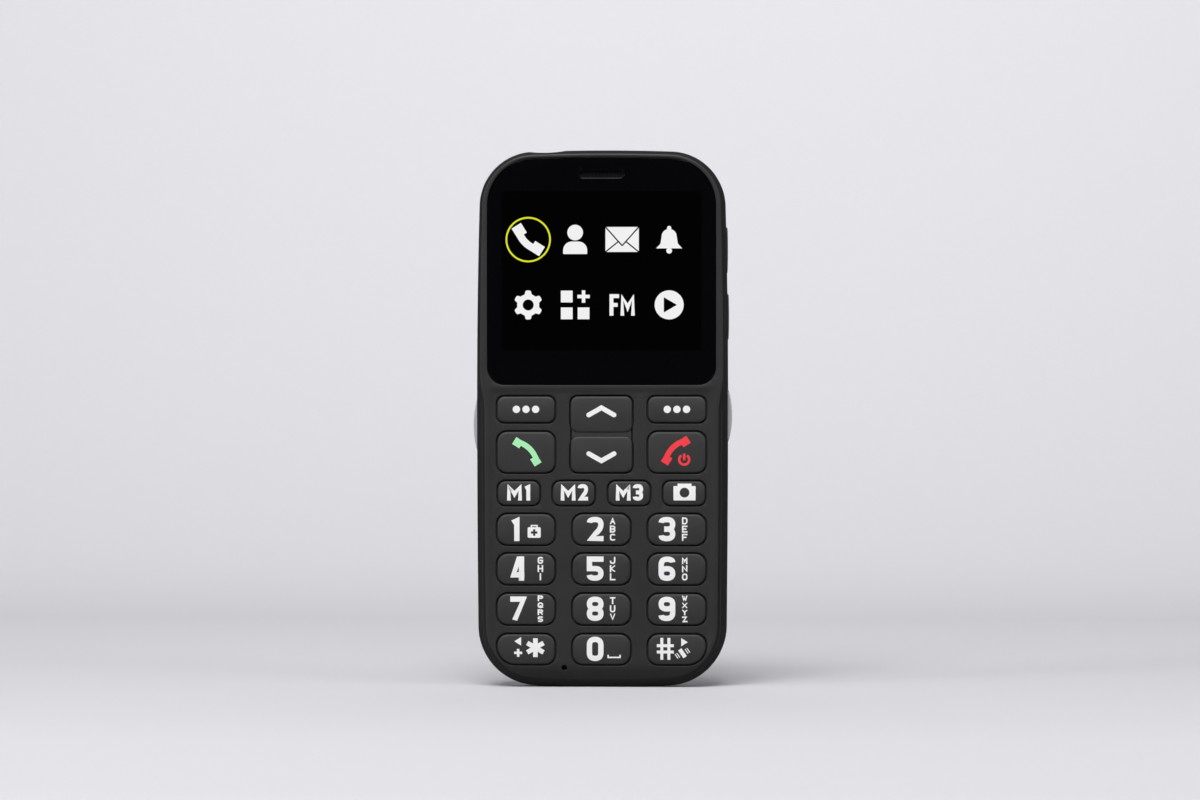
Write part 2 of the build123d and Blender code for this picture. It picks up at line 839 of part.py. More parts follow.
# Keycaps: a crowned cap in its aperture, a flange behind the face and a nub that reaches the dome
for key in keys:
    name = key[0]
    place_x, place_z = key_place(key)
    half_height = row_shares[key[2]][1] * keypad_height / 2 - key_gap
    with BuildPart() as cap:
        with BuildSketch(level(flange_front_y)):
            add(key_outline(key, -key_gap))
        extrude(amount=flange_front_y - crown_y + overrun)
        with BuildSketch(Plane.YZ):
            with BuildLine():
                low = (crown_y + key_crown, place_z - half_height)
                high = (crown_y + key_crown, place_z + half_height)
                ThreePointArc(low, (crown_y, place_z), high)
                Polyline(high, (rear_y, high[1]), (rear_y, low[1]), low)
            make_face()
        extrude(amount=body_width, both=True, mode=Mode.INTERSECT)
        chamfer(cap.faces().sort_by(Axis.Y)[0].edges(), key_edge)
        if name == "key_5":
            # Raised marks that a finger can feel, one at each end of the middle key
            mark_x = key_width_share * keypad_width / 2 - key_gap - tactile_inset
            with BuildSketch(level(flange_front_y)):
                with Locations((place_x - mark_x, place_z), (place_x + mark_x, place_z)):
                    Rectangle(tactile_width, tactile_length)
            extrude(amount=flange_front_y - crown_y + tactile_rise)
        with BuildSketch(level(flange_rear_y)):
            add(key_outline(key, key_flange - key_gap, cut))
        extrude(amount=key_flange_thickness)
        with BuildSketch(level(nub_end_y)):
            with Locations((place_x, place_z)):
                RegularPolygon(nub_radius, nub_sides)
        extrude(amount=nub_end_y - flange_rear_y)
    write(cap, name)

# Navigation rocker: it tilts about its post, so its flange lies deeper by the rise of its end
nav_rise = (nav_height / 2 + key_flange) * sin(radians(nav_tilt))
nav_flange_y = flange_front_y + nav_rise
nav_pivot_y = sheet_front_y - seat_play
nav_nub_y = dome_top_y - nav_nub_reach * tan(radians(nav_tilt)) - seat_play
with BuildPart() as nav_key:
    with BuildSketch(level(nav_flange_y)):
        add(nav_pads(-key_gap))
    extrude(amount=nav_flange_y - crown_y + overrun)
    with BuildSketch(Plane.YZ):
        for pad_z in (nav_z + nav_pad_reach, nav_z - nav_pad_reach):
            with BuildLine():
                pad_half = nav_pad_height / 2 - key_gap
                low = (crown_y + key_crown, pad_z - pad_half)
                high = (crown_y + key_crown, pad_z + pad_half)
                ThreePointArc(low, (crown_y, pad_z), high)
                Polyline(high, (rear_y, high[1]), (rear_y, low[1]), low)
            make_face()
    extrude(amount=body_width, both=True, mode=Mode.INTERSECT)
    chamfer(
        [edge for face in nav_key.faces().sort_by(Axis.Y)[0:2] for edge in face.edges()],
        key_edge,
    )
    with BuildSketch(level(nav_flange_y)):
        with Locations((0, nav_z)):
            Rectangle(nav_bridge_width - 2 * key_gap, nav_height / 2)
    extrude(amount=nav_flange_y - face_y + key_crown - nav_bridge_drop)
    with BuildSketch(level(nav_flange_y + nav_flange_thickness)):
        add(nav_outline(key_flange - key_gap, cut))
    extrude(amount=nav_flange_thickness)
    with BuildSketch(level(nav_nub_y)):
        with Locations((0, nav_z + nav_nub_reach), (0, nav_z - nav_nub_reach)):
            RegularPolygon(nub_radius, nub_sides)
    extrude(amount=nav_nub_y - nav_flange_y)
    with BuildSketch(level(nav_pivot_y)):
        with Locations((0, nav_z)):
            RegularPolygon(nav_post_radius, nub_sides)
    extrude(amount=nav_pivot_y - nav_flange_y)
write(nav_key, "nav_key")

# Main board, with a bay for the headphone jack
with BuildPart() as main_board:
    with BuildSketch(level(board_rear_y)):
        add(body_outline(board_margin))
        with Locations((-jack_x, jack_body_bottom - shell_fit)):
            Rectangle(
                jack_body_width + 2 * shell_fit,
                jack_bore_length + overrun + jack_floor,
                align=(Align.CENTER, Align.MIN),
                mode=Mode.SUBTRACT,
            )
        with Locations(*screw_places):
            RegularPolygon(screw_radius + shell_fit, boss_sides, mode=Mode.SUBTRACT)
    extrude(amount=board_thickness)
write(main_board, "main_board")

# Shield cans on the rear of the board
with BuildPart() as shield_cans:
    with BuildSketch(level(board_rear_y + shield_height)):
        for can in range(shield_count):
            with Locations((0, shield_bottom + can * (shield_length + shield_gap))):
                Rectangle(shield_width, shield_length, align=(Align.CENTER, Align.MIN))
    extrude(amount=shield_height)
    fillet(shield_cans.edges().filter_by(Axis.Y), shield_edge_radius)
write(shield_cans, "shield_cans")

# Microphone: a can on the board and a boot up to the hole in the chin
with BuildPart() as microphone:
    with BuildSketch(level(board_front_y)):
        with Locations(mic_place):
            Rectangle(mic_can, mic_can)
    extrude(amount=mic_can_height)
    with BuildSketch(level(board_front_y)):
        with Locations(mic_place):
            Circle(mic_boot_radius)
    extrude(amount=board_front_y - inner_face_y - seat_play)
    with BuildSketch(level(board_front_y - mic_can_height)):
        with Locations(mic_place):
            Circle(mic_hole_radius)
    extrude(amount=board_front_y - inner_face_y, mode=Mode.SUBTRACT)
write(microphone, "microphone")


# Mid housing: the side band, a tongue inside the front housing, the floor and the battery bay
usb_y = board_rear_y + usb_height / 2
bay_rear_y = cover_inner_y - 2 * battery_play
battery_z = battery_bottom + battery_height / 2
torch_z = camera_z
with BuildPart() as mid_housing:
    with BuildSketch(level(band_rear_y)):
        add(body_outline(0))
        add(body_outline(band_wall), mode=Mode.SUBTRACT)
    extrude(amount=band_depth)
    with BuildSketch(level(band_front_y)):
        add(body_outline(shell_wall + shell_fit))
        add(body_outline(band_wall), mode=Mode.SUBTRACT)
    extrude(amount=tongue_depth)
    # Floor, open at the side switches, the sockets, the camera, the cards and the contacts
    with BuildSketch(level(floor_rear_y)):
        add(body_outline(shell_wall))
        for name, side, z, length, proud, bow in side_keys:
            with Locations((side * (switch_x(z, length) - switch_depth - switch_clearance), z)):
                Rectangle(
                    band_wall + switch_depth,
                    length + 2 * (side_key_flange + switch_clearance),
                    align=(Align.MIN if side > 0 else Align.MAX, Align.CENTER),
                    mode=Mode.SUBTRACT,
                )
        with Locations((-jack_x, jack_body_bottom - shell_fit)):
            Rectangle(
                jack_body_width + 2 * shell_fit,
                jack_body_top - jack_body_bottom + 2 * shell_fit,
                align=(Align.CENTER, Align.MIN),
                mode=Mode.SUBTRACT,
            )
        with Locations((0, 0)):
            Rectangle(
                usb_width + 4 * shell_fit,
                usb_inset + usb_length + 2 * shell_fit,
                align=(Align.CENTER, Align.MIN),
                mode=Mode.SUBTRACT,
            )
        with Locations((0, camera_z)):
            Rectangle(
                camera_size + 4 * shell_fit, camera_size + 4 * shell_fit, mode=Mode.SUBTRACT
            )
        with Locations((torch_x, torch_z)):
            Circle(torch_lens_radius + shell_fit, mode=Mode.SUBTRACT)
        for side in (-1, 1):
            with Locations((side * card_holder_x, card_holder_bottom + card_holder_height / 2)):
                Rectangle(
                    card_holder_width + 4 * shell_fit,
                    card_holder_height + 4 * shell_fit,
                    mode=Mode.SUBTRACT,
                )
        with Locations((0, contact_z - 2 * shell_fit)):
            Rectangle(
                contact_width + 4 * shell_fit,
                contact_length + 4 * shell_fit,
                align=(Align.CENTER, Align.MIN),
                mode=Mode.SUBTRACT,
            )
    extrude(amount=floor_thickness)
    # Battery bay, with a thumb notch below and a gap for the contacts above
    with BuildSketch(level(bay_rear_y)):
        with Locations((0, battery_z)):
            RectangleRounded(
                battery_width + 4 * battery_play + 2 * bay_wall,
                battery_height + 4 * battery_play + 2 * bay_wall,
                battery_corner_radius + bay_wall,
            )
            RectangleRounded(
                battery_width + 4 * battery_play,
                battery_height + 4 * battery_play,
                battery_corner_radius,
                mode=Mode.SUBTRACT,
            )
        with Locations((0, battery_top)):
            Rectangle(contact_width + 4 * shell_fit, 4 * bay_wall, mode=Mode.SUBTRACT)
    extrude(amount=bay_rear_y - floor_rear_y + seat_play)
    with BuildSketch(level(bay_rear_y)):
        with Locations((0, battery_bottom)):
            SlotOverall(thumb_width, 4 * bay_wall)
    extrude(amount=thumb_depth, mode=Mode.SUBTRACT)
    # Walls that hold the loudspeaker
    with BuildSketch(level(floor_rear_y + speaker_thickness)):
        with Locations((0, speaker_z)):
            RectangleRounded(
                speaker_width + 2 * (shell_fit + speaker_wall),
                speaker_height + 2 * (shell_fit + speaker_wall),
                speaker_radius + speaker_wall,
            )
            RectangleRounded(
                speaker_width + 2 * shell_fit,
                speaker_height + 2 * shell_fit,
                speaker_radius,
                mode=Mode.SUBTRACT,
            )
    extrude(amount=speaker_thickness + seat_play)
    # Carrier of the antenna
    with BuildSketch(level(floor_rear_y + antenna_carrier)):
        with Locations((0, antenna_bottom)):
            Rectangle(
                antenna_width + antenna_leg_width,
                antenna_height,
                align=(Align.CENTER, Align.MIN),
            )
    extrude(amount=antenna_carrier + seat_play)
    # Bosses that clamp the board, and the screw holes with their recesses
    with BuildSketch(level(board_rear_y + seat_play)):
        with Locations(*screw_places):
            RegularPolygon(boss_rear_radius, boss_sides)
    extrude(amount=board_rear_y + seat_play - floor_front_y)
    with BuildSketch(level(floor_rear_y)):
        with Locations(*screw_places):
            RegularPolygon(screw_radius + shell_fit, boss_sides)
    extrude(amount=floor_rear_y - board_rear_y, mode=Mode.SUBTRACT)
    with BuildSketch(level(floor_rear_y)):
        with Locations(*screw_places):
            RegularPolygon(screw_head_radius + shell_fit, boss_sides)
    extrude(amount=screw_recess, mode=Mode.SUBTRACT)
    # Slots for the side keys
    for name, side, z, length, proud, bow in side_keys:
        with BuildSketch(Plane.YZ.offset(side * (body_width / 2 - band_wall - overrun))):
            with Locations((band_y, z)):
                SlotOverall(
                    length + 2 * side_key_gap, side_key_height + 2 * side_key_gap, rotation=90
                )
        extrude(amount=side * (band_wall + 2 * overrun), mode=Mode.SUBTRACT)
    # Holes for the headphone jack and the charging socket, and the scoop in the top edge
    with BuildSketch(Plane.XY.offset(jack_body_top)):
        with Locations((-jack_x, jack_y)):
            Circle(jack_barrel_radius + shell_fit)
    extrude(amount=band_wall + overrun, mode=Mode.SUBTRACT)
    with BuildSketch(Plane.XY.offset(-foot_cut)):
        with Locations((0, usb_y)):
            RectangleRounded(
                usb_width + 4 * shell_fit, usb_height + 4 * shell_fit, usb_corner_radius
            )
    extrude(amount=band_wall + overrun, mode=Mode.SUBTRACT)
    with BuildSketch(level(band_rear_y)):
        add(scoop())
    extrude(amount=band_depth, mode=Mode.SUBTRACT)
    # Notch for a fingernail under the edge of the cover
    with BuildSketch(level(band_rear_y)):
        with Locations((notch_x, 0)):
            Rectangle(notch_width, notch_height, align=(Align.CENTER, Align.MIN))
    extrude(amount=notch_depth, mode=Mode.SUBTRACT)
    split(bisect_by=Plane.XY, keep=Keep.TOP)
write(mid_housing, "mid_housing")

# Screws: a low head in the floor and a shank down to the front housing's boss
screw_seat_y = floor_rear_y - screw_recess
with BuildPart() as housing_screws:
    with BuildSketch(level(screw_seat_y + screw_head_height)):
        with Locations(*screw_places):
            RegularPolygon(screw_head_radius, boss_sides)
    extrude(amount=screw_head_height)
    with BuildSketch(level(screw_seat_y)):
        with Locations(*screw_places):
            RegularPolygon(screw_radius, boss_sides)
    extrude(amount=screw_length)
write(housing_screws, "housing_screws")

# Headphone jack: a body set into the board and a barrel up to the scoop
with BuildPart() as headphone_jack:
    with BuildSketch(Plane.XY.offset(jack_body_bottom)):
        with Locations((-jack_x, jack_y)):
            Rectangle(jack_body_width, jack_body_depth)
    extrude(amount=jack_body_top - jack_body_bottom)
    with BuildSketch(Plane.XY.offset(jack_body_bottom)):
        with Locations((-jack_x, jack_y)):
            Circle(jack_barrel_radius)
    extrude(amount=jack_mouth_z - jack_body_bottom)
    with BuildSketch(Plane.XY.offset(jack_mouth_z)):
        with Locations((-jack_x, jack_y)):
            Circle(jack_bore_radius)
    extrude(amount=-jack_bore_length, mode=Mode.SUBTRACT)
write(headphone_jack, "headphone_jack")

# Charging socket: a steel shell with a tongue inside
with BuildPart() as charging_socket:
    with BuildSketch(Plane.XY.offset(usb_inset)):
        with Locations((0, usb_y)):
            RectangleRounded(usb_width, usb_height, usb_corner_radius)
    extrude(amount=usb_length)
    with BuildSketch(Plane.XY.offset(usb_inset)):
        with Locations((0, usb_y)):
            RectangleRounded(
                usb_width - 2 * usb_wall,
                usb_height - 2 * usb_wall,
                usb_corner_radius - usb_wall,
            )
            Rectangle(usb_tongue_width, usb_tongue_thickness, mode=Mode.SUBTRACT)
    extrude(amount=usb_length - 2 * usb_wall, mode=Mode.SUBTRACT)
write(charging_socket, "charging_socket")

# Camera: a body on the board and a barrel that ends just under the cover
camera_rear_y = cover_inner_y - camera_gap
with BuildPart() as camera_module:
    with BuildSketch(level(camera_rear_y - camera_barrel_rise)):
        with Locations((0, camera_z)):
            Rectangle(camera_size, camera_size)
    extrude(amount=camera_rear_y - camera_barrel_rise - board_rear_y)
    with BuildSketch(level(camera_rear_y)):
        with Locations((0, camera_z)):
            Circle(camera_barrel_radius)
    extrude(amount=camera_barrel_rise + seat_play)
    with BuildSketch(level(camera_rear_y)):
        with Locations((0, camera_z)):
            Circle(camera_barrel_radius / 2)
    extrude(amount=camera_barrel_rise / 2, mode=Mode.SUBTRACT)
write(camera_module, "camera_module")

# Torch: a lamp on the board and a clear lens that reaches through the cover
torch_lamp_y = board_rear_y + torch_lamp_height
with BuildPart() as torch_lamp:
    with BuildSketch(level(torch_lamp_y)):
        with Locations((torch_x, torch_z)):
            Rectangle(torch_lamp_size, torch_lamp_size)
    extrude(amount=torch_lamp_height)
write(torch_lamp, "torch_lamp")

with BuildPart() as torch_lens:
    with BuildSketch(level(rear_y - camera_gap)):
        with Locations((torch_x, torch_z)):
            Circle(torch_lens_radius)
    extrude(amount=rear_y - camera_gap - torch_lamp_y - seat_play)
    chamfer(torch_lens.faces().sort_by(Axis.Y)[-1].edges(), torch_lens_edge)
    with BuildSketch(level(floor_rear_y + torch_skirt)):
        with Locations((torch_x, torch_z)):
            Circle(torch_lens_radius + torch_skirt)
    extrude(amount=torch_skirt)
write(torch_lens, "torch_lens")

# Loudspeaker and the soft ring that seals it to the cover
speaker_front_y = floor_rear_y + seat_play
with BuildPart() as loudspeaker:
    with BuildSketch(level(speaker_front_y + speaker_thickness)):
        with Locations((0, speaker_z)):
            RectangleRounded(speaker_width, speaker_height, speaker_radius)
    extrude(amount=speaker_thickness)
    with BuildSketch(level(speaker_front_y + speaker_thickness)):
        with Locations((0, speaker_z)):
            RectangleRounded(
                speaker_width - 2 * gasket_width,
                speaker_height - 2 * gasket_width,
                speaker_radius - gasket_width,
            )
    extrude(amount=speaker_wall, mode=Mode.SUBTRACT)
write(loudspeaker, "loudspeaker")

with BuildPart() as speaker_gasket:
    with BuildSketch(level(cover_inner_y - seat_play)):
        with Locations((0, speaker_z)):
            RectangleRounded(speaker_width, speaker_height, speaker_radius)
            RectangleRounded(
                speaker_width - 2 * gasket_width,
                speaker_height - 2 * gasket_width,
                speaker_radius - gasket_width,
                mode=Mode.SUBTRACT,
            )
    extrude(amount=cover_inner_y - seat_play - speaker_front_y - speaker_thickness)
write(speaker_gasket, "speaker_gasket")

# Vibration motor: a sealed coin on the floor
with BuildPart() as vibration_motor:
    with BuildSketch(level(floor_rear_y + motor_thickness)):
        with Locations((motor_x, motor_z)):
            Circle(motor_radius)
    extrude(amount=motor_thickness)
write(vibration_motor, "vibration_motor")

# Antenna: one strip that runs up and down across its carrier
antenna_pitch = antenna_width / (antenna_legs - 1)
antenna_mid_z = antenna_bottom + antenna_height / 2
with BuildPart() as antenna:
    with BuildSketch(level(floor_rear_y + antenna_carrier + antenna_thickness)):
        with Locations((0, antenna_mid_z)):
            with GridLocations(antenna_pitch, antenna_height, antenna_legs, 1):
                Rectangle(antenna_leg_width, antenna_height)
        for turn in range(antenna_legs - 1):
            turn_x = -antenna_width / 2 + (turn + 1 / 2) * antenna_pitch
            turn_end = 1 if turn % 2 else -1
            turn_z = antenna_mid_z + turn_end * (antenna_height - antenna_leg_width) / 2
            with Locations((turn_x, turn_z)):
                Rectangle(antenna_pitch, antenna_leg_width)
    extrude(amount=antenna_thickness)
write(antenna, "antenna")

# Card holders on the rear of the board, open to the rear
for name, side in (("phone_card_holder", -1), ("memory_card_holder", 1)):
    with BuildPart() as card_holder:
        with BuildSketch(level(board_rear_y + card_holder_depth)):
            with Locations((side * card_holder_x, card_holder_bottom + card_holder_height / 2)):
                Rectangle(card_holder_width, card_holder_height)
        extrude(amount=card_holder_depth)
        with BuildSketch(level(board_rear_y + card_holder_depth)):
            with Locations((side * card_holder_x, card_holder_bottom + card_holder_height / 2)):
                Rectangle(
                    card_holder_width - 2 * card_holder_wall,
                    card_holder_height - 2 * card_holder_wall,
                )
        extrude(amount=card_slot_depth, mode=Mode.SUBTRACT)
    write(card_holder, name)

# Battery and the contacts above it
with BuildPart() as battery:
    with BuildSketch(level(cover_inner_y - 2 * battery_play)):
        with Locations((0, battery_z)):
            RectangleRounded(battery_width, battery_height, battery_corner_radius)
    extrude(amount=cover_inner_y - 2 * battery_play - floor_rear_y - battery_play)
    chamfer(battery.faces().sort_by(Axis.Y)[-1].edges(), battery_edge)
    chamfer(battery.faces().sort_by(Axis.Y)[0].edges(), battery_edge)
write(battery, "battery")

contact_pitch = contact_width / contact_blades
with BuildPart() as battery_contacts:
    with BuildSketch(level(board_rear_y + contact_height)):
        with Locations((0, contact_z)):
            Rectangle(contact_width, contact_length, align=(Align.CENTER, Align.MIN))
    extrude(amount=contact_height)
    with BuildSketch(level(board_rear_y + contact_height)):
        with Locations((0, contact_z)):
            with GridLocations(contact_pitch, contact_length, contact_blades, 1):
                Rectangle(
                    contact_blade_width,
                    contact_reach,
                    align=(Align.CENTER, Align.MAX),
                )
    extrude(amount=contact_blade_width)
write(battery_contacts, "battery_contacts")

# Side keys: a rounded bar in its slot, its outer face bowed, with a flange inside the wall
for name, side, z, length, proud, bow in side_keys:
    flange_x = side_flange_x(z, length)
    crest_x = side_x(z) + proud
    with BuildPart() as side_key:
        with BuildSketch(Plane.YZ.offset(side * flange_x)):
            with Locations((band_y, z)):
                SlotOverall(length, side_key_height, rotation=90)
        extrude(amount=side * (crest_x - flange_x + overrun))
        with BuildSketch(level(rear_y)):
            with BuildLine():
                low = (side * (crest_x - bow), z - length / 2)
                high = (side * (crest_x - bow), z + length / 2)
                ThreePointArc(low, (side * crest_x, z), high)
                Polyline(high, (0, high[1]), (0, low[1]), low)
            make_face()
        extrude(amount=body_depth, mode=Mode.INTERSECT)
        chamfer(side_key.faces().sort_by(Axis.X)[-1 if side > 0 else 0].edges(), side_key_edge)
        with BuildSketch(Plane.YZ.offset(side * (flange_x - side_key_flange_thickness))):
            with Locations((band_y, z)):
                SlotOverall(
                    length + 2 * side_key_flange,
                    side_key_height + 2 * side_key_flange,
                    rotation=90,
                )
        extrude(amount=side * side_key_flange_thickness)
    write(side_key, name)

# Switches behind the side keys, on the rear of the board
with BuildPart() as side_switches:
    with BuildSketch(level(board_rear_y + switch_height)):
        for name, side, z, length, proud, bow in side_keys:
            with Locations((side * (switch_x(z, length) - switch_depth / 2), z)):
                Rectangle(switch_depth, switch_length)
    extrude(amount=switch_height)
write(side_switches, "side_switches")

# Rear cover: rolled edge, lip inside the band, camera and torch holes, loudspeaker slots
window_seat_y = rear_y - camera_gap / 2 - camera_window_thickness
with BuildPart() as rear_cover:
    with BuildSketch(level(rear_y)):
        add(body_outline(0))
    extrude(amount=cover_depth)
    fillet(rear_cover.faces().sort_by(Axis.Y)[-1].edges(), rear_roll_radius)
    with BuildSketch(level(cover_inner_y)):
        add(body_outline(cover_side_wall))
    extrude(amount=cover_inner_y - band_rear_y, mode=Mode.SUBTRACT)
    with BuildSketch(level(cover_inner_y + seat_play)):
        add(body_outline(band_wall + shell_fit))
        add(body_outline(band_wall + shell_fit + lip_wall), mode=Mode.SUBTRACT)
    extrude(amount=cover_inner_y + seat_play - band_rear_y + lip_depth)
    # Gap in the lip beside the headphone jack
    with BuildSketch(level(band_rear_y)):
        with Locations((-jack_x, body_height)):
            Rectangle(
                jack_body_width + 4 * shell_fit,
                body_height - jack_body_bottom,
                align=(Align.CENTER, Align.MAX),
            )
    extrude(amount=lip_depth, mode=Mode.SUBTRACT)
    with BuildSketch(level(rear_y)):
        with Locations((0, camera_z)):
            Circle(camera_window_radius + camera_gap)
    extrude(amount=rear_y - window_seat_y, mode=Mode.SUBTRACT)
    with BuildSketch(level(rear_y)):
        with Locations((0, camera_z)):
            Circle(camera_hole_radius)
        with Locations((torch_x, torch_z)):
            Circle(torch_lens_radius + torch_lens_gap)
        with Locations((0, speaker_z)):
            with GridLocations(grille_pitch, grille_slot_length, grille_slots, 1):
                SlotOverall(grille_slot_length, grille_slot_width, rotation=90)
    extrude(amount=cover_wall + seat_play, mode=Mode.SUBTRACT)
    with BuildSketch(level(rear_y)):
        add(scoop())
    extrude(amount=cover_depth, mode=Mode.SUBTRACT)
    split(bisect_by=Plane.XY, keep=Keep.TOP)
write(rear_cover, "rear_cover")

with BuildPart() as camera_window:
    with BuildSketch(level(window_seat_y + camera_window_thickness)):
        with Locations((0, camera_z)):
            Circle(camera_window_radius)
    extrude(amount=camera_window_thickness)
write(camera_window, "camera_window")
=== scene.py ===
import json
from math import atan2, cos, pi, radians, sin, sqrt

import bmesh
import bpy
from mathutils import Matrix, Vector
from mathutils.geometry import delaunay_2d_cdt, intersect_sphere_sphere_2d

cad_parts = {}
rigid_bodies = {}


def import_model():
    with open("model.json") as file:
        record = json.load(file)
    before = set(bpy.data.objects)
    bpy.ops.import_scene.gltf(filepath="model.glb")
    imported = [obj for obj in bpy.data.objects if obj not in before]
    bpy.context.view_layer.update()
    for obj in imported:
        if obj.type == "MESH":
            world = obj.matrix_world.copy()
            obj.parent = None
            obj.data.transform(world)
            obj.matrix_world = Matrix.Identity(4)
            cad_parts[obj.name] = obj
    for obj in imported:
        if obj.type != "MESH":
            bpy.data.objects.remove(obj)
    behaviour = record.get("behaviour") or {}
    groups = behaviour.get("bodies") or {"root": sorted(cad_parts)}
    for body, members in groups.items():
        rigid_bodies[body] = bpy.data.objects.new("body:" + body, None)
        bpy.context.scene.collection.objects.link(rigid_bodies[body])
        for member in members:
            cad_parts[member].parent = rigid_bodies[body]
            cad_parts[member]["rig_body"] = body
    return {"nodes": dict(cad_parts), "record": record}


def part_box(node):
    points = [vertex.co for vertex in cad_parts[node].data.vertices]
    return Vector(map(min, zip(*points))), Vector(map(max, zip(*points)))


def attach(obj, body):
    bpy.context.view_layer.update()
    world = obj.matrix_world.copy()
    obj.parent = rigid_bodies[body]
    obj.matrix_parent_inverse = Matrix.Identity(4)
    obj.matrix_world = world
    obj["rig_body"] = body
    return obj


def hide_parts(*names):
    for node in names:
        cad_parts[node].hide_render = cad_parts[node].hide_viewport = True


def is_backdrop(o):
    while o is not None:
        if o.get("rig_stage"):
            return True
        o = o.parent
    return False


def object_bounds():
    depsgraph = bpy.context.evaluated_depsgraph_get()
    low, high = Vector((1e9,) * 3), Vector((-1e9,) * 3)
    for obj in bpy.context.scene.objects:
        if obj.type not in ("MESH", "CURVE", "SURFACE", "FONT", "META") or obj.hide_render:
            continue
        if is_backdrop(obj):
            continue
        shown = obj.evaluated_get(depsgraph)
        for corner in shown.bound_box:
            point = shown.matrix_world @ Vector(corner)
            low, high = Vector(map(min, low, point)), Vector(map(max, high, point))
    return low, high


bl_info = {
    "name": "Feature phone",
    "version": (1, 0, 0),
    "blender": (4, 5, 0),
    "location": "View3D > Sidebar > Phone",
    "description": "Gives the packed model of a feature phone its smooth shells, keys, legends and finishes",
    "category": "Object",
}

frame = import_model()
cad_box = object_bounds()

MM = 0.001

# Tolerances; flat outlines are divided into triangles at a scale of their own
CDT_SCALE = 1000
CDT_EPSILON = 1e-6
MERGE_DISTANCE = 1e-7
WELD_DISTANCE = 1e-6
TINY = 1e-6
LEAST_RISE = 0.05 * MM
FLAT_ANGLE = radians(0.3)
# Edges sharper than this stay sharp: on drawn pieces, on shells of the packed model, on the paper
SHARP_ANGLE = radians(35)
SHELL_ANGLE = radians(30)
PAPER_ANGLE = radians(40)

# How finely the forms are divided; the first row is for the six arcs of half an outline
BARREL_STEPS = (12, 26, 20, 28, 26, 12)
CORNER_STEPS = 9
SLOT_STEPS = 10
NAV_STEPS = 10
DISC_STEPS = 28
RING_STEPS = 48
BUTTON_STEPS = 40
END_STEPS = 14
WIRE_SIDES = 6
ROLL_STEPS = 9
EDGE_STEPS = 3
FIELD_STEPS = 4
CAP_RINGS = 16
WAIST_STEPS = 12
CURVE_STEPS = 6
HANDSET_STEPS = 10
GEAR_STEPS = 96
FLOOR_STEPS = 24
DETAIL_PITCH = 0.7 * MM
LEGEND_PITCH = 0.8 * MM
MITRE_LIMIT = 0.4

# Corners and depths that the packed model gives
housing_low, housing_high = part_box("front_housing")
window_low, window_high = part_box("display_window")
cover_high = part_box("rear_cover")[1]
rim_y = housing_low.y
band_front_y = housing_high.y
crown_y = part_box("key_1")[0].y


def length(name, description, millimetres):
    """A length that the user can change, given here in millimetres."""
    return bpy.props.FloatProperty(
        name=name, description=description, default=millimetres * MM, unit="LENGTH", precision=5
    )


def share(name, description, default):
    """A plain number that the user can change."""
    return bpy.props.FloatProperty(name=name, description=description, default=default, precision=4)


def colour(name, description, default):
    """A colour that the user can change."""
    return bpy.props.FloatVectorProperty(
        name=name, description=description, default=default, subtype="COLOR", size=3, min=0, max=1
    )


def turn(name, description, default):
    """An angle that the user can change, given here in degrees."""
    return bpy.props.FloatProperty(
        name=name, description=description, default=radians(default), subtype="ANGLE"
    )


class PhoneOutline(bpy.types.PropertyGroup):
    """Front outline of the phone and of its window"""

    top_crown: length("Top crown", "How far the top edge bows up", 0.9)
    bottom_crown: length("Bottom crown", "How far the bottom edge bows down", 1.6)
    top_narrowing: length("Top narrowing", "How far the sides come in at the top", 1.0)
    bottom_narrowing: length("Bottom narrowing", "How far the sides come in at the foot", 0.5)
    widest_share: share("Widest", "Height of the widest place, as a share of the height", 0.554)
    top_corner: length("Top corner", "Radius of the upper corners", 13.5)
    bottom_corner: length("Bottom corner", "Radius of the lower corners", 14.5)
    foot_cut: length("Foot cut", "How much the flat of the foot takes off", 0.1)
    window_crown: length("Window crown", "How far the window's top edge bows up", 0.8)
    window_top_corner: length("Window top corner", "Radius of the window's upper corners", 11.5)
    window_bottom_corner: length("Window bottom corner", "Radius of the window's lower corners", 4.2)


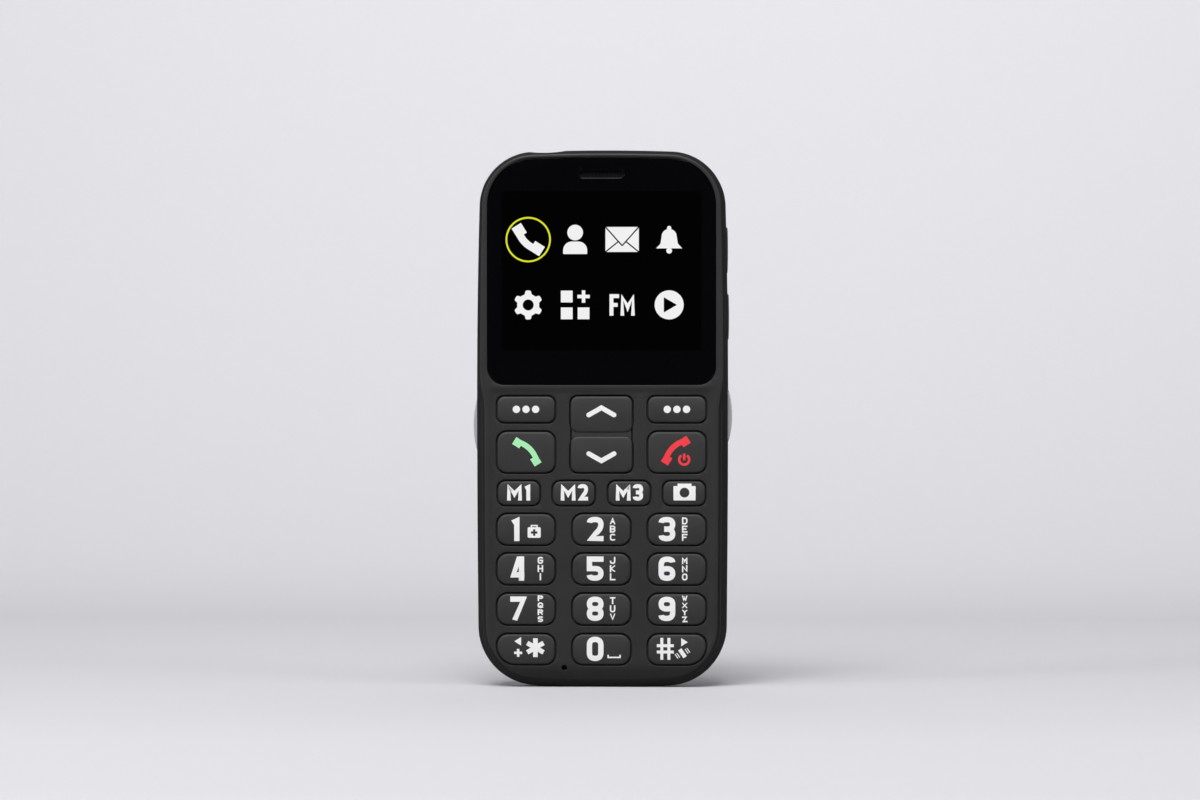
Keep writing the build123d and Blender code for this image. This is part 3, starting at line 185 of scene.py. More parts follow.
class PhoneFace(bpy.types.PropertyGroup):
    """Relief of the front housing"""

    wall: length("Wall", "Thickness of the side wall", 1.3)
    face_wall: length("Face wall", "Thickness of the face behind the rim", 1.4)
    window_roll: length("Window roll", "Width of the sloping edge beside the window", 1.35)
    keypad_roll: length("Keypad roll", "Width of the sloping edge beside the keys", 2.5)
    roll_change: length("Roll change", "Height over which one width becomes the other", 9.0)
    fillet: length("Fillet", "Radius where the edge turns into the face", 0.55)
    draft: turn("Draft", "Slope of the sides at the end of this fillet", 14)
    field_inset: length("Field inset", "Distance of the sunken key field from the sides", 2.7)
    field_slope: length("Field slope", "Width of the slope down to the key field", 1.6)
    field_depth: length("Field depth", "Depth of the key field below the rim", 0.3)
    field_drop: length("Field drop", "Distance of the key field below the window", 0.6)
    chin_top: length("Chin top", "Height at which the chin starts to roll back", 7.6)
    chin_wall: length("Chin wall", "Thickness of the chin", 0.65)
    chin_radius: length("Chin radius", "Radius of the chin's roll", 10.5)
    blend: length("Blend", "How softly the forms of the face run together", 0.25)
    hole_edge: length("Hole edge", "Rounding of the edges of holes", 0.12)
    seam: length("Seam", "Chamfer on each side of the joint between the shells", 0.09)
    scoop_width: length("Scoop width", "Width of the scoop over the headphone socket", 9.2)
    scoop_dip: length("Scoop dip", "Depth of that scoop", 0.35)
    microphone_radius: length("Microphone", "Radius of the microphone's hole", 0.65)
    microphone_height: length("Microphone height", "Height of that hole over the foot", 4.85)
    ledge: length("Ledge depth", "Thickness of the ledge behind the window", 0.6)
    ledge_reach: length("Ledge reach", "How far the ledge reaches past the window", 0.8)
    window_gap: length("Window gap", "Gap round the window", 0.1)
    window_edge: length("Window edge", "Rounding of the window's edge", 0.12)
    mesh_margin: length("Mesh margin", "How far the earpiece's mesh reaches past its slot", 0.8)
    wire_pitch: length("Wire pitch", "Distance from wire to wire in that mesh", 0.36)
    wire: length("Wire", "Thickness of these wires", 0.14)


class PhoneKeys(bpy.types.PropertyGroup):
    """Keycaps and side keys"""

    gap: length("Gap", "Gap between a keycap and its hole", 0.4)
    flange: length("Flange", "How far a key's flange reaches past its hole", 0.25)
    flange_depth: length("Flange place", "How far the flange lies behind the crown", 1.55)
    flange_thickness: length("Flange thickness", "Thickness of the flange", 0.45)
    crown: length("Crown", "Rise of a keycap's crown", 0.22)
    edge: length("Edge", "Rounding of a keycap's edge", 0.28)
    dip: length("Dip", "How far a cap's crown falls off sideways", 0.06)
    soft_radius: length("Soft key corner", "Corner radius of the soft keys' holes", 2.1)
    call_radius: length("Call key corner", "Corner radius of the call keys' holes", 2.7)
    menu_radius: length("Memory key corner", "Corner radius of the memory keys' holes", 2.2)
    digit_radius: length("Digit key corner", "Corner radius of the digit keys' holes", 2.9)
    wide_share: share("Wide corner", "Radius of the wide corners as a share of the hole's height", 0.6)
    nav_radius: length("Navigation corner", "Corner radius of the navigation key's hole", 2.1)
    pad_gap: length("Pad gap", "Gap between the two pads of the navigation key", 1.06)
    nav_flange_depth: length("Navigation flange", "How far its flange lies behind the crown", 1.98)
    waist_reach: length("Waist", "How far the narrow middle of that hole reaches up and down", 3.0)
    waist_slope: length("Waist slope", "Length of the change of width", 1.6)
    bridge_inset: length("Bridge inset", "How much narrower the middle of the navigation key is", 0.28)
    bridge_drop: length("Bridge drop", "How deep the middle of the navigation key lies", 0.35)
    mark_length: length("Mark length", "Length of the raised marks on the middle key", 3.4)
    mark_width: length("Mark width", "Width of these marks", 0.6)
    mark_rise: length("Mark rise", "How far these marks stand out", 0.12)
    mark_inset: length("Mark inset", "Distance of these marks from the cap's ends", 0.8)


class PhoneLegends(bpy.types.PropertyGroup):
    """Printed legends on the keys"""

    ink: length("Ink", "Thickness of the print", 0.025)
    root: length("Root", "How far the print reaches into the cap", 0.06)
    digit_height: length("Digit height", "Height of the large digits", 5.95)
    digit_width: length("Digit width", "Width of the large digits", 4.1)
    digit_stroke: length("Digit stroke", "Stroke of the large digits", 1.3)
    letter_height: length("Letter height", "Height of the letters beside them", 1.72)
    letter_width: length("Letter width", "Width of these letters", 1.35)
    letter_stroke: length("Letter stroke", "Stroke of these letters", 0.36)
    letter_pitch: length("Letter pitch", "Distance from letter to letter", 2.0)
    letter_gap: length("Letter gap", "Least gap between these letters", 0.28)
    digit_rise: length("Digit rise", "How far the digits sit above a key's middle", 0.12)
    menu_letter_width: length("Memory key letter", "Width of the letter on the memory keys", 3.66)
    menu_gap: length("Memory key gap", "Gap between this letter and its number", 0.5)
    menu_stroke: length("Memory key stroke", "Stroke of this text", 0.95)
    menu_height: length("Memory key text", "Height of the text on the memory keys", 4.05)
    dot: length("Dot", "Diameter of the dots on the soft keys", 1.8)
    dot_pitch: length("Dot pitch", "Distance from dot to dot", 2.35)
    chevron_width: length("Chevron width", "Width of the arrows on the navigation key", 6.2)
    chevron_height: length("Chevron height", "Height of these arrows", 1.75)
    chevron_rise: length("Chevron rise", "Distance of the arrows from a pad's middle", 0.7)
    chevron_stroke: length("Chevron stroke", "Stroke of these arrows", 1.15)


class PhoneScreen(bpy.types.PropertyGroup):
    """What the display shows"""

    film: length("Film", "Thickness of the picture on the window", 0.012)
    width: length("Width", "Width of the dark screen", 48.9)
    height: length("Height", "Height of the dark screen", 38.9)
    drop: length("Drop", "Distance of its middle below the window's top", 27.8)
    shift: length("Shift", "How far the icons stand to the right", -0.7)
    column_pitch: length("Column pitch", "Distance from icon to icon", 11.5)
    row_pitch: length("Row pitch", "Distance from row to row", 16.0)
    row_rise: length("Row rise", "Height of the middle of both rows over the screen's middle", -0.35)
    icon: length("Icon", "Half size of an icon", 3.55)
    ring: length("Ring", "Radius of the ring round the chosen icon", 5.35)
    ring_stroke: length("Ring stroke", "Stroke of that ring", 0.42)
    glow: share("Glow", "Brightness of the picture", 0.95)


class PhoneFinish(bpy.types.PropertyGroup):
    """Colours of the surfaces, as linear values"""

    housing: colour("Housing", "Moulded shells", (0.020, 0.020, 0.0205))
    keys: colour("Keys", "Keycaps", (0.026, 0.026, 0.0265))
    window: colour("Window", "Black window", (0.0013, 0.0014, 0.0019))
    white: colour("White", "White print", (0.84, 0.84, 0.84))
    green: colour("Green", "Green print of the call key", (0.38, 0.82, 0.43))
    red: colour("Red", "Red print of the end key", (0.88, 0.036, 0.051))
    silver: colour("Silver", "Silver paint", (0.62, 0.62, 0.63))
    yellow: colour("Yellow", "Ring round the chosen icon", (0.76, 0.8, 0.03))


class PhoneStage(bpy.types.PropertyGroup):
    """Camera, floor and lights"""

    distance: bpy.props.FloatProperty(
        name="Distance", description="Camera to phone", default=1.3, unit="LENGTH"
    )
    eye_height: length("Eye height", "Height of the camera", 70.3)
    azimuth: turn("Azimuth", "How far the camera stands to the right", 2.6)
    scale: share("Scale", "Photograph pixels for each millimetre at the phone", 4.07)
    middle_column: share("Middle column", "Pixel column of the phone's middle", 602.7)
    floor_tone: colour("Floor", "Paper of the floor and backdrop", (0.90, 0.895, 0.93))
    floor_front: length("Floor front", "How far the paper reaches towards the camera", 1500)
    floor_width: length("Floor width", "Width of the paper", 5000)
    wall_distance: length("Wall distance", "Distance of the backdrop behind the phone", 1500)
    wall_height: length("Wall height", "Height of the backdrop", 2500)
    curve_radius: length("Curve", "Radius of the paper's curve", 900)
    front_light: share("Front light", "Power of the soft box over the camera, in watts", 17.3)
    top_light: share("Top light", "Power of the soft box above, in watts", 4.5)
    left_light: share("Left light", "Power of the soft box on the left, in watts", 4)
    right_light: share("Right light", "Power of the soft box on the right, in watts", 2.4)
    back_light: share("Back light", "Power of the soft box over the backdrop, in watts", 8.6)
    mirrored_tone: share("Mirrored tone", "Brightness of the paper in reflections", 0.1)
    world_light: share("World light", "Brightness of the surroundings", 0.02)


PHOTO_WIDTH = 1200
SENSOR_WIDTH = 36
CLIP_START = 0.05

# Tone of the surroundings, and the finish of the paper
WORLD_TONE = (0.9, 0.9, 1.0)
PAPER_WAVES = 700
PAPER_DEPTH = 0.02 * MM
PAPER_TONE_SHARE = 0.006
PAPER_ROUGHNESS = 0.85
PAPER_GLOSS = 0.05
PAPER_SHINE = 0.15

# Painted shade on the paper, darkest in a band behind the phone and darker towards the front: shares of the
# wall's distance, and the tone there
PAINTED_PAPER_SHADE = ((-0.23, 0.885), (-0.14, 0.96), (0, 1), (0.12, 0.95), (0.27, 0.86), (0.5, 0.94), (0.9, 1))
SHADE_START_SHARE = 0.25
SHADE_SCALE = 0.8

# Soft boxes: place, what they face and width in metres, and the size that holds their power
SOFT_BOXES = (
    ("Front box", (-0.15, -1.2, 1.2), (0.0, 0.0, 0.07), 0.9, "front_light"),
    ("Top box", (0.0, -0.6, 1.3), (0.0, 0.0, 0.05), 1.0, "top_light"),
    ("Left box", (-1.1, -0.9, 0.5), (0.0, 0.0, 0.07), 0.5, "left_light"),
    ("Right box", (1.1, -0.9, 0.5), (0.0, 0.0, 0.07), 0.5, "right_light"),
    ("Back box", (0.0, 0.3, 1.2), (0.0, 1.5, 0.9), 0.6, "back_light"),
)


def operator(operation):
    """A method that adds the Math node of one operation."""

    def method(self, *others):
        return self.maths(operation, *others)

    return method


class Value:
    """A node socket in a Python sum: each operator adds the node that works it out."""

    def __init__(self, tree, socket):
        self.tree = tree
        self.socket = socket

    def maths(self, operation, *others):
        return self.tree.add("ShaderNodeMath", {"operation": operation}, (self, *others))

    def __rsub__(self, other):
        return (self * -1) + other

    def clip(self):
        return self.high(0).low(1)

    __add__ = __radd__ = operator("ADD")
    __sub__ = operator("SUBTRACT")
    __mul__ = __rmul__ = operator("MULTIPLY")
    __truediv__ = operator("DIVIDE")
    __lt__ = operator("LESS_THAN")
    __gt__ = operator("GREATER_THAN")
    __abs__ = operator("ABSOLUTE")
    root = operator("SQRT")
    low = operator("MINIMUM")
    high = operator("MAXIMUM")
    sine = operator("SINE")
    cosine = operator("COSINE")
    floor = operator("FLOOR")


class Nodes:
    """A node tree that is filled one node at a time."""

    def __init__(self, tree):
        self.tree = tree

    def add(self, kind, settings=None, inputs=(), output=0):
        """Add a node: its settings first, then values or links for its sockets, by place or by name."""
        node = self.tree.nodes.new(kind)
        for name, value in (settings or {}).items():
            if name == "stops":
                fill_ramp(node.color_ramp.elements, value)
            else:
                setattr(node, name, value)
        pairs = inputs.items() if isinstance(inputs, dict) else enumerate(inputs)
        for key, value in pairs:
            self.set(node, key, value)
        return Value(self, node.outputs[output]) if len(node.outputs) else node

    def output(self, value, name):
        """Another output of the node that a value comes from."""
        return Value(self, value.socket.node.outputs[name])

    def ramp(self, factor, stops):
        """A colour ramp through stops of position and colour."""
        return self.add("ShaderNodeValToRGB", {"stops": stops}, (factor,))

    def vector(self, *parts):
        """A vector of three values."""
        return self.add("ShaderNodeCombineXYZ", {}, parts)

    def set(self, node, key, value):
        """Give one socket of a node a value, a link or a list of links."""
        for item in value if isinstance(value, list) else [value]:
            if isinstance(item, Value):
                self.tree.links.new(item.socket, node.inputs[key])
            else:
                node.inputs[key].default_value = item

    def end(self, geometry, material):
        """Close a tree of shapes: real geometry with its material."""
        real = self.add("GeometryNodeRealizeInstances", {}, (geometry,))
        painted = self.add("GeometryNodeSetMaterial", {}, {"Geometry": real, "Material": material})
        self.add("NodeGroupOutput", {}, (painted,))


def fill_ramp(elements, stops):
    """Give a colour ramp its stops."""
    while len(elements) < len(stops):
        elements.new(0.5)
    for element, (position, tone) in zip(elements, stops):
        element.position = position
        element.color = (*tone, 1)


def shape_tree(name, sizes):
    """New tree of shapes, with inputs for these sizes, a middle and a material: its nodes and inputs."""
    tree = bpy.data.node_groups.new(name, "GeometryNodeTree")
    kinds = [(size, "NodeSocketFloat") for size in sizes]
    kinds += [("Middle", "NodeSocketVector"), ("Material", "NodeSocketMaterial")]
    for socket, kind in kinds:
        tree.interface.new_socket(name=socket, in_out="INPUT", socket_type=kind)
    tree.interface.new_socket(name="Geometry", in_out="OUTPUT", socket_type="NodeSocketGeometry")
    nodes = Nodes(tree)
    start = nodes.add("NodeGroupInput")
    return nodes, [nodes.output(start, socket) for socket, kind in kinds]


class Surface(Nodes):
    """A material that is built round one Principled shader."""

    def __init__(self, name):
        self.material = bpy.data.materials.new(name)
        self.material.use_nodes = True
        super().__init__(self.material.node_tree)
        self.shader = self.tree.nodes["Principled BSDF"]
        self.place = self.output(self.add("ShaderNodeTexCoord"), "Object")

    def noise(self, waves, detail=2.0, place=None):
        """Noise with this many waves a metre, from 0 to 1."""
        inputs = {"Vector": place or self.place, "Scale": waves, "Detail": detail}
        return self.add("ShaderNodeTexNoise", {}, inputs)

    def look(self, **sockets):
        """Set sockets of the shader, named in words joined by underscores."""
        for key, value in sockets.items():
            self.set(self.shader, key.replace("_", " ").title().replace("Ior", "IOR"), value)

    def uneven(self, noise, tone, tone_share, roughness, gloss, **sockets):
        """Tone and roughness that follow a noise, by a share and by a change of gloss."""
        self.look(
            base_color=self.tones(noise, *around(tone, tone_share)),
            roughness=roughness + swing(noise, gloss),
            **sockets,
        )

    def bump(self, height, distance):
        """Bump from a height, as deep as the distance."""
        inputs = {"Strength": 1.0, "Distance": distance, "Height": height}
        self.set(self.shader, "Normal", self.add("ShaderNodeBump", {}, inputs))

    def product(self, first, second):
        """Two colours multiplied."""
        return self.add("ShaderNodeVectorMath", {"operation": "MULTIPLY"}, (first, second))

    def tones(self, factor, dark, pale):
        """A colour between two tones."""
        return self.ramp(factor, [(NOISE_LOW, dark), (NOISE_HIGH, pale)])


def around(tone, spread):
    """A darker and a paler neighbour of a colour."""
    return [tuple(min(1, c * way) for c in tone) for way in (1 - spread, 1 + spread)]


def swing(noise, spread):
    """A change to both sides of nothing, as wide as the spread."""
    return (noise - 0.5) * spread


# Most of a noise lies between these two values
NOISE_LOW, NOISE_HIGH = 0.3, 0.7
FINE_DETAIL = 3.0
SMEAR_DETAIL = 4.0

# Waves a metre of each noise
GRAIN_WAVES = 9000
MOTTLE_WAVES = 160
INK_WAVES = GRAIN_WAVES / 3
GLOW_WAVES = GRAIN_WAVES / 2
SMEAR_WAVES = 90
RIPPLE_WAVES = 30
FLAKE_WAVES = 14000
BRUSH_WAVES = 5000
TRACK_WAVES = 420.0
BOARD_WAVES = 2500
WRAP_WAVES = 3000
LENS_WAVES = 120

# Depths of the relief
GRAIN_DEPTH = 0.004 * MM
RIPPLE_DEPTH = 0.002 * MM
TRACK_DEPTH = 0.01 * MM

# How a noise changes a finish: its tone by a share, round this roughness, by this change of gloss
INK = (0.02, 0.42, 0.1)
GLASS = (0.08, 0.05, 0.03)
PAINT = (0.12, 0.34, 0.12)
LENS = (0.05, 0.055, 0.03)
PAINT_METAL_SHARE, PAINT_COAT_SHARE = 0.35, 0.5
PLASTIC_TONE_SHARE, MOTTLE_GLOSS, GRAIN_GLOSS = 0.05, 0.10, 0.08
METAL_TONE_SHARE, METAL_GLOSS = 0.07, 0.14
LIT_TONE_SHARE, LIT_ROUGHNESS = 0.015, 0.08
BOARD_ROUGHNESS, BOARD_GLOSS = 0.32, 0.1
WRAP_ROUGHNESS, WRAP_GLOSS = 0.36, 0.1

# The circuit board's tracks, and the band of colour on the battery
BOARD_TONES = ((0.0, (0.012, 0.085, 0.035)), (1.0, (0.03, 0.17, 0.06)))
TRACK_PATTERN = {"offset": 0.37, "squash": 0.7}
TRACK_SHARE = 0.02
BRUSH_STRETCH = (0.03, 1.0, 1.0)
BAND_HEIGHT_SHARE = 0.78
BAND_HALF_WIDTH = 4.5 * MM


def moulded(name, tone, roughness):
    """Moulded plastic: fine spark-eroded grain with slow changes of gloss."""
    surface = Surface(name)
    fine = surface.noise(GRAIN_WAVES, FINE_DETAIL)
    slow = surface.noise(MOTTLE_WAVES)
    surface.look(
        base_color=surface.tones(slow, *around(tone, PLASTIC_TONE_SHARE)),
        roughness=roughness + swing(slow, MOTTLE_GLOSS) + swing(fine, GRAIN_GLOSS),
    )
    surface.bump(fine, GRAIN_DEPTH)


def printed(name, tone):
    """Printed ink, a little uneven."""
    surface = Surface(name)
    fine = surface.noise(INK_WAVES)
    surface.uneven(fine, tone, *INK)
    surface.bump(fine, GRAIN_DEPTH / 2)


def glossy(name, tone):
    """Polished black plastic or glass with a faint waviness and smears."""
    surface = Surface(name)
    smear = surface.noise(SMEAR_WAVES, SMEAR_DETAIL)
    surface.uneven(smear, tone, *GLASS)
    surface.bump(surface.noise(RIPPLE_WAVES), RIPPLE_DEPTH)


def lit(name, tone, glow):
    """Part of the lit picture."""
    surface = Surface(name)
    flicker = surface.noise(GLOW_WAVES)
    surface.look(
        base_color=(0.0, 0.0, 0.0, 1.0),
        emission_color=surface.tones(flicker, *around(tone, LIT_TONE_SHARE)),
        emission_strength=glow,
        roughness=LIT_ROUGHNESS,
    )


def painted_silver(name, tone):
    """Silver paint: a metal flake under a clear coat."""
    surface = Surface(name)
    flake = surface.noise(FLAKE_WAVES, 1.0)
    surface.uneven(flake, tone, *PAINT, metallic=PAINT_METAL_SHARE, coat_weight=PAINT_COAT_SHARE)
    surface.bump(flake, GRAIN_DEPTH / 2)


def metal(name, tone, roughness):
    """Plain metal with fine brushing along X."""
    surface = Surface(name)
    inputs = {"Vector": surface.place, "Scale": BRUSH_STRETCH}
    stretched = surface.add("ShaderNodeMapping", {}, inputs)
    line = surface.noise(BRUSH_WAVES, FINE_DETAIL, stretched)
    surface.uneven(line, tone, METAL_TONE_SHARE, roughness, METAL_GLOSS, metallic=1.0)
    surface.bump(line, GRAIN_DEPTH / 2)


def circuit(name):
    """Green solder mask with a lattice of copper tracks under it."""
    surface = Surface(name)
    tracks = surface.add(
        "ShaderNodeTexBrick",
        TRACK_PATTERN,
        {"Vector": surface.place, "Scale": TRACK_WAVES, "Mortar Size": TRACK_SHARE},
        output=1,
    )
    surface.look(
        base_color=surface.ramp(tracks, BOARD_TONES),
        roughness=BOARD_ROUGHNESS + surface.noise(BOARD_WAVES) * BOARD_GLOSS,
    )
    surface.bump(tracks, TRACK_DEPTH)


def wrapped(name, tone, stripe):
    """Battery wrap: satin film with one plain coloured band."""
    surface = Surface(name)
    height = surface.output(surface.add("ShaderNodeSeparateXYZ", {}, (surface.place,)), "Z")
    battery_low, battery_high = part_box("battery")
    band_z = battery_low.z + (battery_high.z - battery_low.z) * BAND_HEIGHT_SHARE
    in_band = abs(height - band_z) < BAND_HALF_WIDTH
    fine = surface.noise(WRAP_WAVES)
    surface.look(
        base_color=surface.ramp(in_band, [(0.0, tone), (1.0, stripe)]),
        roughness=WRAP_ROUGHNESS + fine * WRAP_GLOSS,
    )
    surface.bump(fine, GRAIN_DEPTH)


def clear(name, tone):
    """Clear or smoked lens."""
    surface = Surface(name)
    surface.uneven(surface.noise(LENS_WAVES, FINE_DETAIL), tone, *LENS)


# Outlines are loops of (point, outward normal) in the plane of X and Z, clockwise as seen from the front


def bulge(reach, rise):
    """Radius of the arc that rises this much over half its width."""
    rise = max(rise, LEAST_RISE)
    return (reach**2 + rise**2) / (2 * rise)


def arc(centre, radius, start, end, count):
    """Points of an arc from one angle towards another, without the last one."""
    loop = []
    for step in range(count):
        angle = start + (end - start) * step / count
        way = Vector((cos(angle), sin(angle)))
        loop.append((centre + radius * way, way))
    return loop


def direction(start, end):
    """Angle of the way from one point to another."""
    return atan2(end.y - start.y, end.x - start.x)


def corner_centre(first, second, radius, near):
    """Middle of a rounded corner that touches two arcs from inside."""
    crossings = intersect_sphere_sphere_2d(first[0], first[1] - radius, second[0], second[1] - radius)
    return min((point for point in crossings if point), key=lambda point: (point - near).length)


def barrel(half_width, waist_z, top_z, bottom_z, crowns, narrowings, corners):
    """Outline with a shallow arc on each side and rounded corners; pairs are (top, bottom)."""
    loop = []
    top_radius = bulge(half_width - narrowings[0], crowns[0])
    bottom_radius = bulge(half_width - narrowings[1], crowns[1])
    upper_radius = bulge(top_z - crowns[0] - waist_z, narrowings[0])
    lower_radius = bulge(waist_z - bottom_z - crowns[1], narrowings[1])
    top = (Vector((0, top_z - top_radius)), top_radius)
    bottom = (Vector((0, bottom_z + bottom_radius)), bottom_radius)
    upper = (Vector((half_width - upper_radius, waist_z)), upper_radius)
    lower = (Vector((half_width - lower_radius, waist_z)), lower_radius)
    top_corner = corner_centre(
        top, upper, corners[0], Vector((half_width - corners[0], top_z - corners[0]))
    )
    bottom_corner = corner_centre(
        bottom, lower, corners[1], Vector((half_width - corners[1], bottom_z + corners[1]))
    )
    at_top, at_upper = direction(top[0], top_corner), direction(upper[0], top_corner)
    at_lower, at_bottom = direction(lower[0], bottom_corner), direction(bottom[0], bottom_corner)
    arcs = (
        (*top, pi / 2, at_top),
        (top_corner, corners[0], at_top, at_upper),
        (*upper, at_upper, 0),
        (*lower, 0, at_lower),
        (bottom_corner, corners[1], at_lower, at_bottom),
        (*bottom, at_bottom, -pi / 2),
    )
    for sizes, count in zip(arcs, BARREL_STEPS):
        loop += arc(*sizes, count)
    loop.append((Vector((0, bottom_z)), Vector((0, -1))))
    return loop + mirrored(loop[1:-1])


def mirrored(loop):
    """The other half of a loop that is alike on both sides of X = 0."""
    return [(Vector((-p.x, p.y)), Vector((-n.x, n.y))) for p, n in loop[::-1]]


def rounded_box(middle, half_width, half_height, radii, steps=CORNER_STEPS):
    """Rounded rectangle; radii for upper right, lower right, lower left and upper left."""
    loop = []
    signs = ((1, 1), (1, -1), (-1, -1), (-1, 1))
    for number, (radius, (side, rise)) in enumerate(zip(radii, signs)):
        centre = middle + Vector((side * (half_width - radius), rise * (half_height - radius)))
        start = pi / 2 - number * pi / 2
        loop += arc(centre, radius, start, start - pi / 2, steps)
        end = start - pi / 2
        way = Vector((cos(end), sin(end)))
        loop.append((centre + radius * way, way))
    return loop


def disc(middle, radius, steps=DISC_STEPS):
    """Round outline."""
    return arc(middle, radius, pi / 2, -3 * pi / 2, steps)


def grown(loop, distance):
    """The loop moved outwards."""
    return [(point + normal * distance, normal) for point, normal in loop]


def points_of(loop):
    """The points of a loop, without their normals."""
    return [point for point, normal in loop]


class Form:
    """A mesh in the making, with its vertices in metres."""

    def __init__(self):
        self.mesh = bmesh.new()

    def ring(self, points):
        """A row of vertices."""
        return [self.mesh.verts.new(point) for point in points]

    def skin(self, rings, closed=True):
        """Quads between rows of equal length."""
        for first, second in zip(rings, rings[1:]):
            count = len(first)
            for i in range(count if closed else count - 1):
                j = (i + 1) % count
                self.mesh.faces.new((first[i], first[j], second[j], second[i]))

    def region(self, solids, holes, points, depth):
        """Triangles inside the solid outlines and outside the holes, on the surface y = depth(x, z)."""
        places, triangles = triangulated(solids, holes, points)
        made = self.ring([(p.x, depth(p.x, p.y), p.y) for p in places])
        for triangle in triangles:
            self.mesh.faces.new([made[i] for i in triangle])

    def solid(self, solids, holes, points, front, back):
        """Closed piece between the surfaces y = front(x, z) and y = back(x, z)."""
        places, triangles = triangulated(solids, holes, points)
        fronts = self.ring([(p.x, front(p.x, p.y), p.y) for p in places])
        backs = self.ring([(p.x, back(p.x, p.y), p.y) for p in places])
        ways = set()
        for a, b, c in triangles:
            self.mesh.faces.new((fronts[a], fronts[b], fronts[c]))
            self.mesh.faces.new((backs[c], backs[b], backs[a]))
            ways |= {(a, b), (b, c), (c, a)}
        for a, b in sorted(ways):
            if (b, a) not in ways:
                self.mesh.faces.new((fronts[b], fronts[a], backs[a], backs[b]))

    def plate(self, outline, holes, front_y, back_y, edge):
        """Flat plate with a rounded front edge on its outline and on its holes."""
        for loop, way in [(outline, -1)] + [(hole, 1) for hole in holes]:
            rings = [self.ring(places(loop, flat(back_y)))]
            for step in range(EDGE_STEPS + 1):
                angle = pi / 2 * step / EDGE_STEPS
                moved = grown(loop, way * edge * (1 - cos(angle)))
                rings.append(self.ring(places(moved, flat(front_y + edge * (1 - sin(angle))))))
            self.skin(rings)
        inner = [points_of(grown(hole, edge)) for hole in holes]
        self.region([points_of(grown(outline, -edge))], inner, [], flat(front_y))
        self.region([points_of(outline)], [points_of(hole) for hole in holes], [], flat(back_y))

    def weld(self):
        """Join the facets of a packed mesh, and make one face of those that lie flat together."""
        bmesh.ops.remove_doubles(self.mesh, verts=self.mesh.verts, dist=WELD_DISTANCE)
        bmesh.ops.dissolve_limit(
            self.mesh, angle_limit=FLAT_ANGLE, verts=self.mesh.verts, edges=self.mesh.edges
        )

    def finish(self, name, sharp=SHARP_ANGLE, weighted=True):
        """The finished object, smooth except at sharp edges."""
        bmesh.ops.remove_doubles(self.mesh, verts=self.mesh.verts, dist=MERGE_DISTANCE)
        bmesh.ops.recalc_face_normals(self.mesh, faces=self.mesh.faces)
        data = bpy.data.meshes.new(name)
        self.mesh.to_mesh(data)
        self.mesh.free()
        return smoothed(name, data, sharp, weighted)


def smoothed(name, data, sharp, weighted):
    """An object for a mesh, with smooth shading that keeps flat faces flat."""
    data.shade_smooth()
    data.set_sharp_from_angle(angle=sharp)
    piece = bpy.data.objects.new(name, data)
    bpy.context.scene.collection.objects.link(piece)
    if weighted:
        piece.modifiers.new("Normals", "WEIGHTED_NORMAL").keep_sharp = True
        piece.data = evaluated(piece)
        piece.modifiers.clear()
        bpy.data.meshes.remove(data)
    return piece


def evaluated(piece):
    """Mesh of a piece with its modifiers worked in."""
    graph = bpy.context.evaluated_depsgraph_get()
    return bpy.data.meshes.new_from_object(piece.evaluated_get(graph))


def encloses(loop, x, y):
    """Whether a place lies inside a loop of plain pairs."""
    inside = False
    last_x, last_y = loop[-1]
    for next_x, next_y in loop:
        if (last_y > y) != (next_y > y):
            if x < last_x + (y - last_y) * (next_x - last_x) / (next_y - last_y):
                inside = not inside
        last_x, last_y = next_x, next_y
    return inside


class Areas:
    """Flat outlines that can be asked whether one of them encloses a place."""

    def __init__(self, outlines):
        self.loops = [[(p.x, p.y) for p in outline] for outline in outlines]
        self.boxes = []
        for loop in self.loops:
            across, along = zip(*loop)
            self.boxes.append((min(across), max(across), min(along), max(along)))

    def holds(self, x, y):
        """Whether one of the outlines encloses this place."""
        return any(
            left < x < right and low < y < high and encloses(loop, x, y)
            for loop, (left, right, low, high) in zip(self.loops, self.boxes)
        )


def triangulated(solids, holes, points):
    """Triangles of flat outlines, given as lists of points in metres, with extra points inside."""
    coordinates = []
    edges = []
    for outline in [*solids, *holes]:
        start = len(coordinates)
        count = len(outline)
        coordinates += [point * CDT_SCALE for point in outline]
        edges += [(start + i, start + (i + 1) % count) for i in range(count)]
    coordinates += [point * CDT_SCALE for point in points]
    vertices, _, triangles, _, _, _ = delaunay_2d_cdt(coordinates, edges, [], 0, CDT_EPSILON)
    vertices = [vertex / CDT_SCALE for vertex in vertices]
    filled, empty = Areas(solids), Areas(holes)
    kept = []
    for triangle in triangles:
        x = sum(vertices[i].x for i in triangle) / 3
        y = sum(vertices[i].y for i in triangle) / 3
        if filled.holds(x, y) and not empty.holds(x, y):
            kept.append(triangle)
    used = sorted({i for triangle in kept for i in triangle})
    number = {old: new for new, old in enumerate(used)}
    return [vertices[i] for i in used], [[number[i] for i in triangle] for triangle in kept]


def flat(y):
    """The plane at this depth, as a surface."""
    return lambda x, z: y


def places(loop, depth):
    """Points in space of a loop on a surface."""
    return [(point.x, depth(point.x, point.y), point.y) for point, normal in loop]


def lattice(low, high, pitch):
    """Evenly spaced points over a rectangle."""
    columns = max(1, round((high.x - low.x) / pitch))
    rows = max(1, round((high.y - low.y) / pitch))
    return [
        Vector((low.x + (high.x - low.x) * i / columns, low.y + (high.y - low.y) * j / rows))
        for i in range(columns + 1)
        for j in range(rows + 1)
    ]


def soft_high(first, second, blend):
    """The higher of two values, with a round changeover."""
    apart = abs(first - second)
    return max(first, second) + max(0, 1 - apart / blend) ** 2 * blend / 4


def smooth_step(value):
    """0 below 0, 1 above 1, and a soft change between."""
    value = min(1.0, max(0.0, value))
    return value * value * (3 - 2 * value)


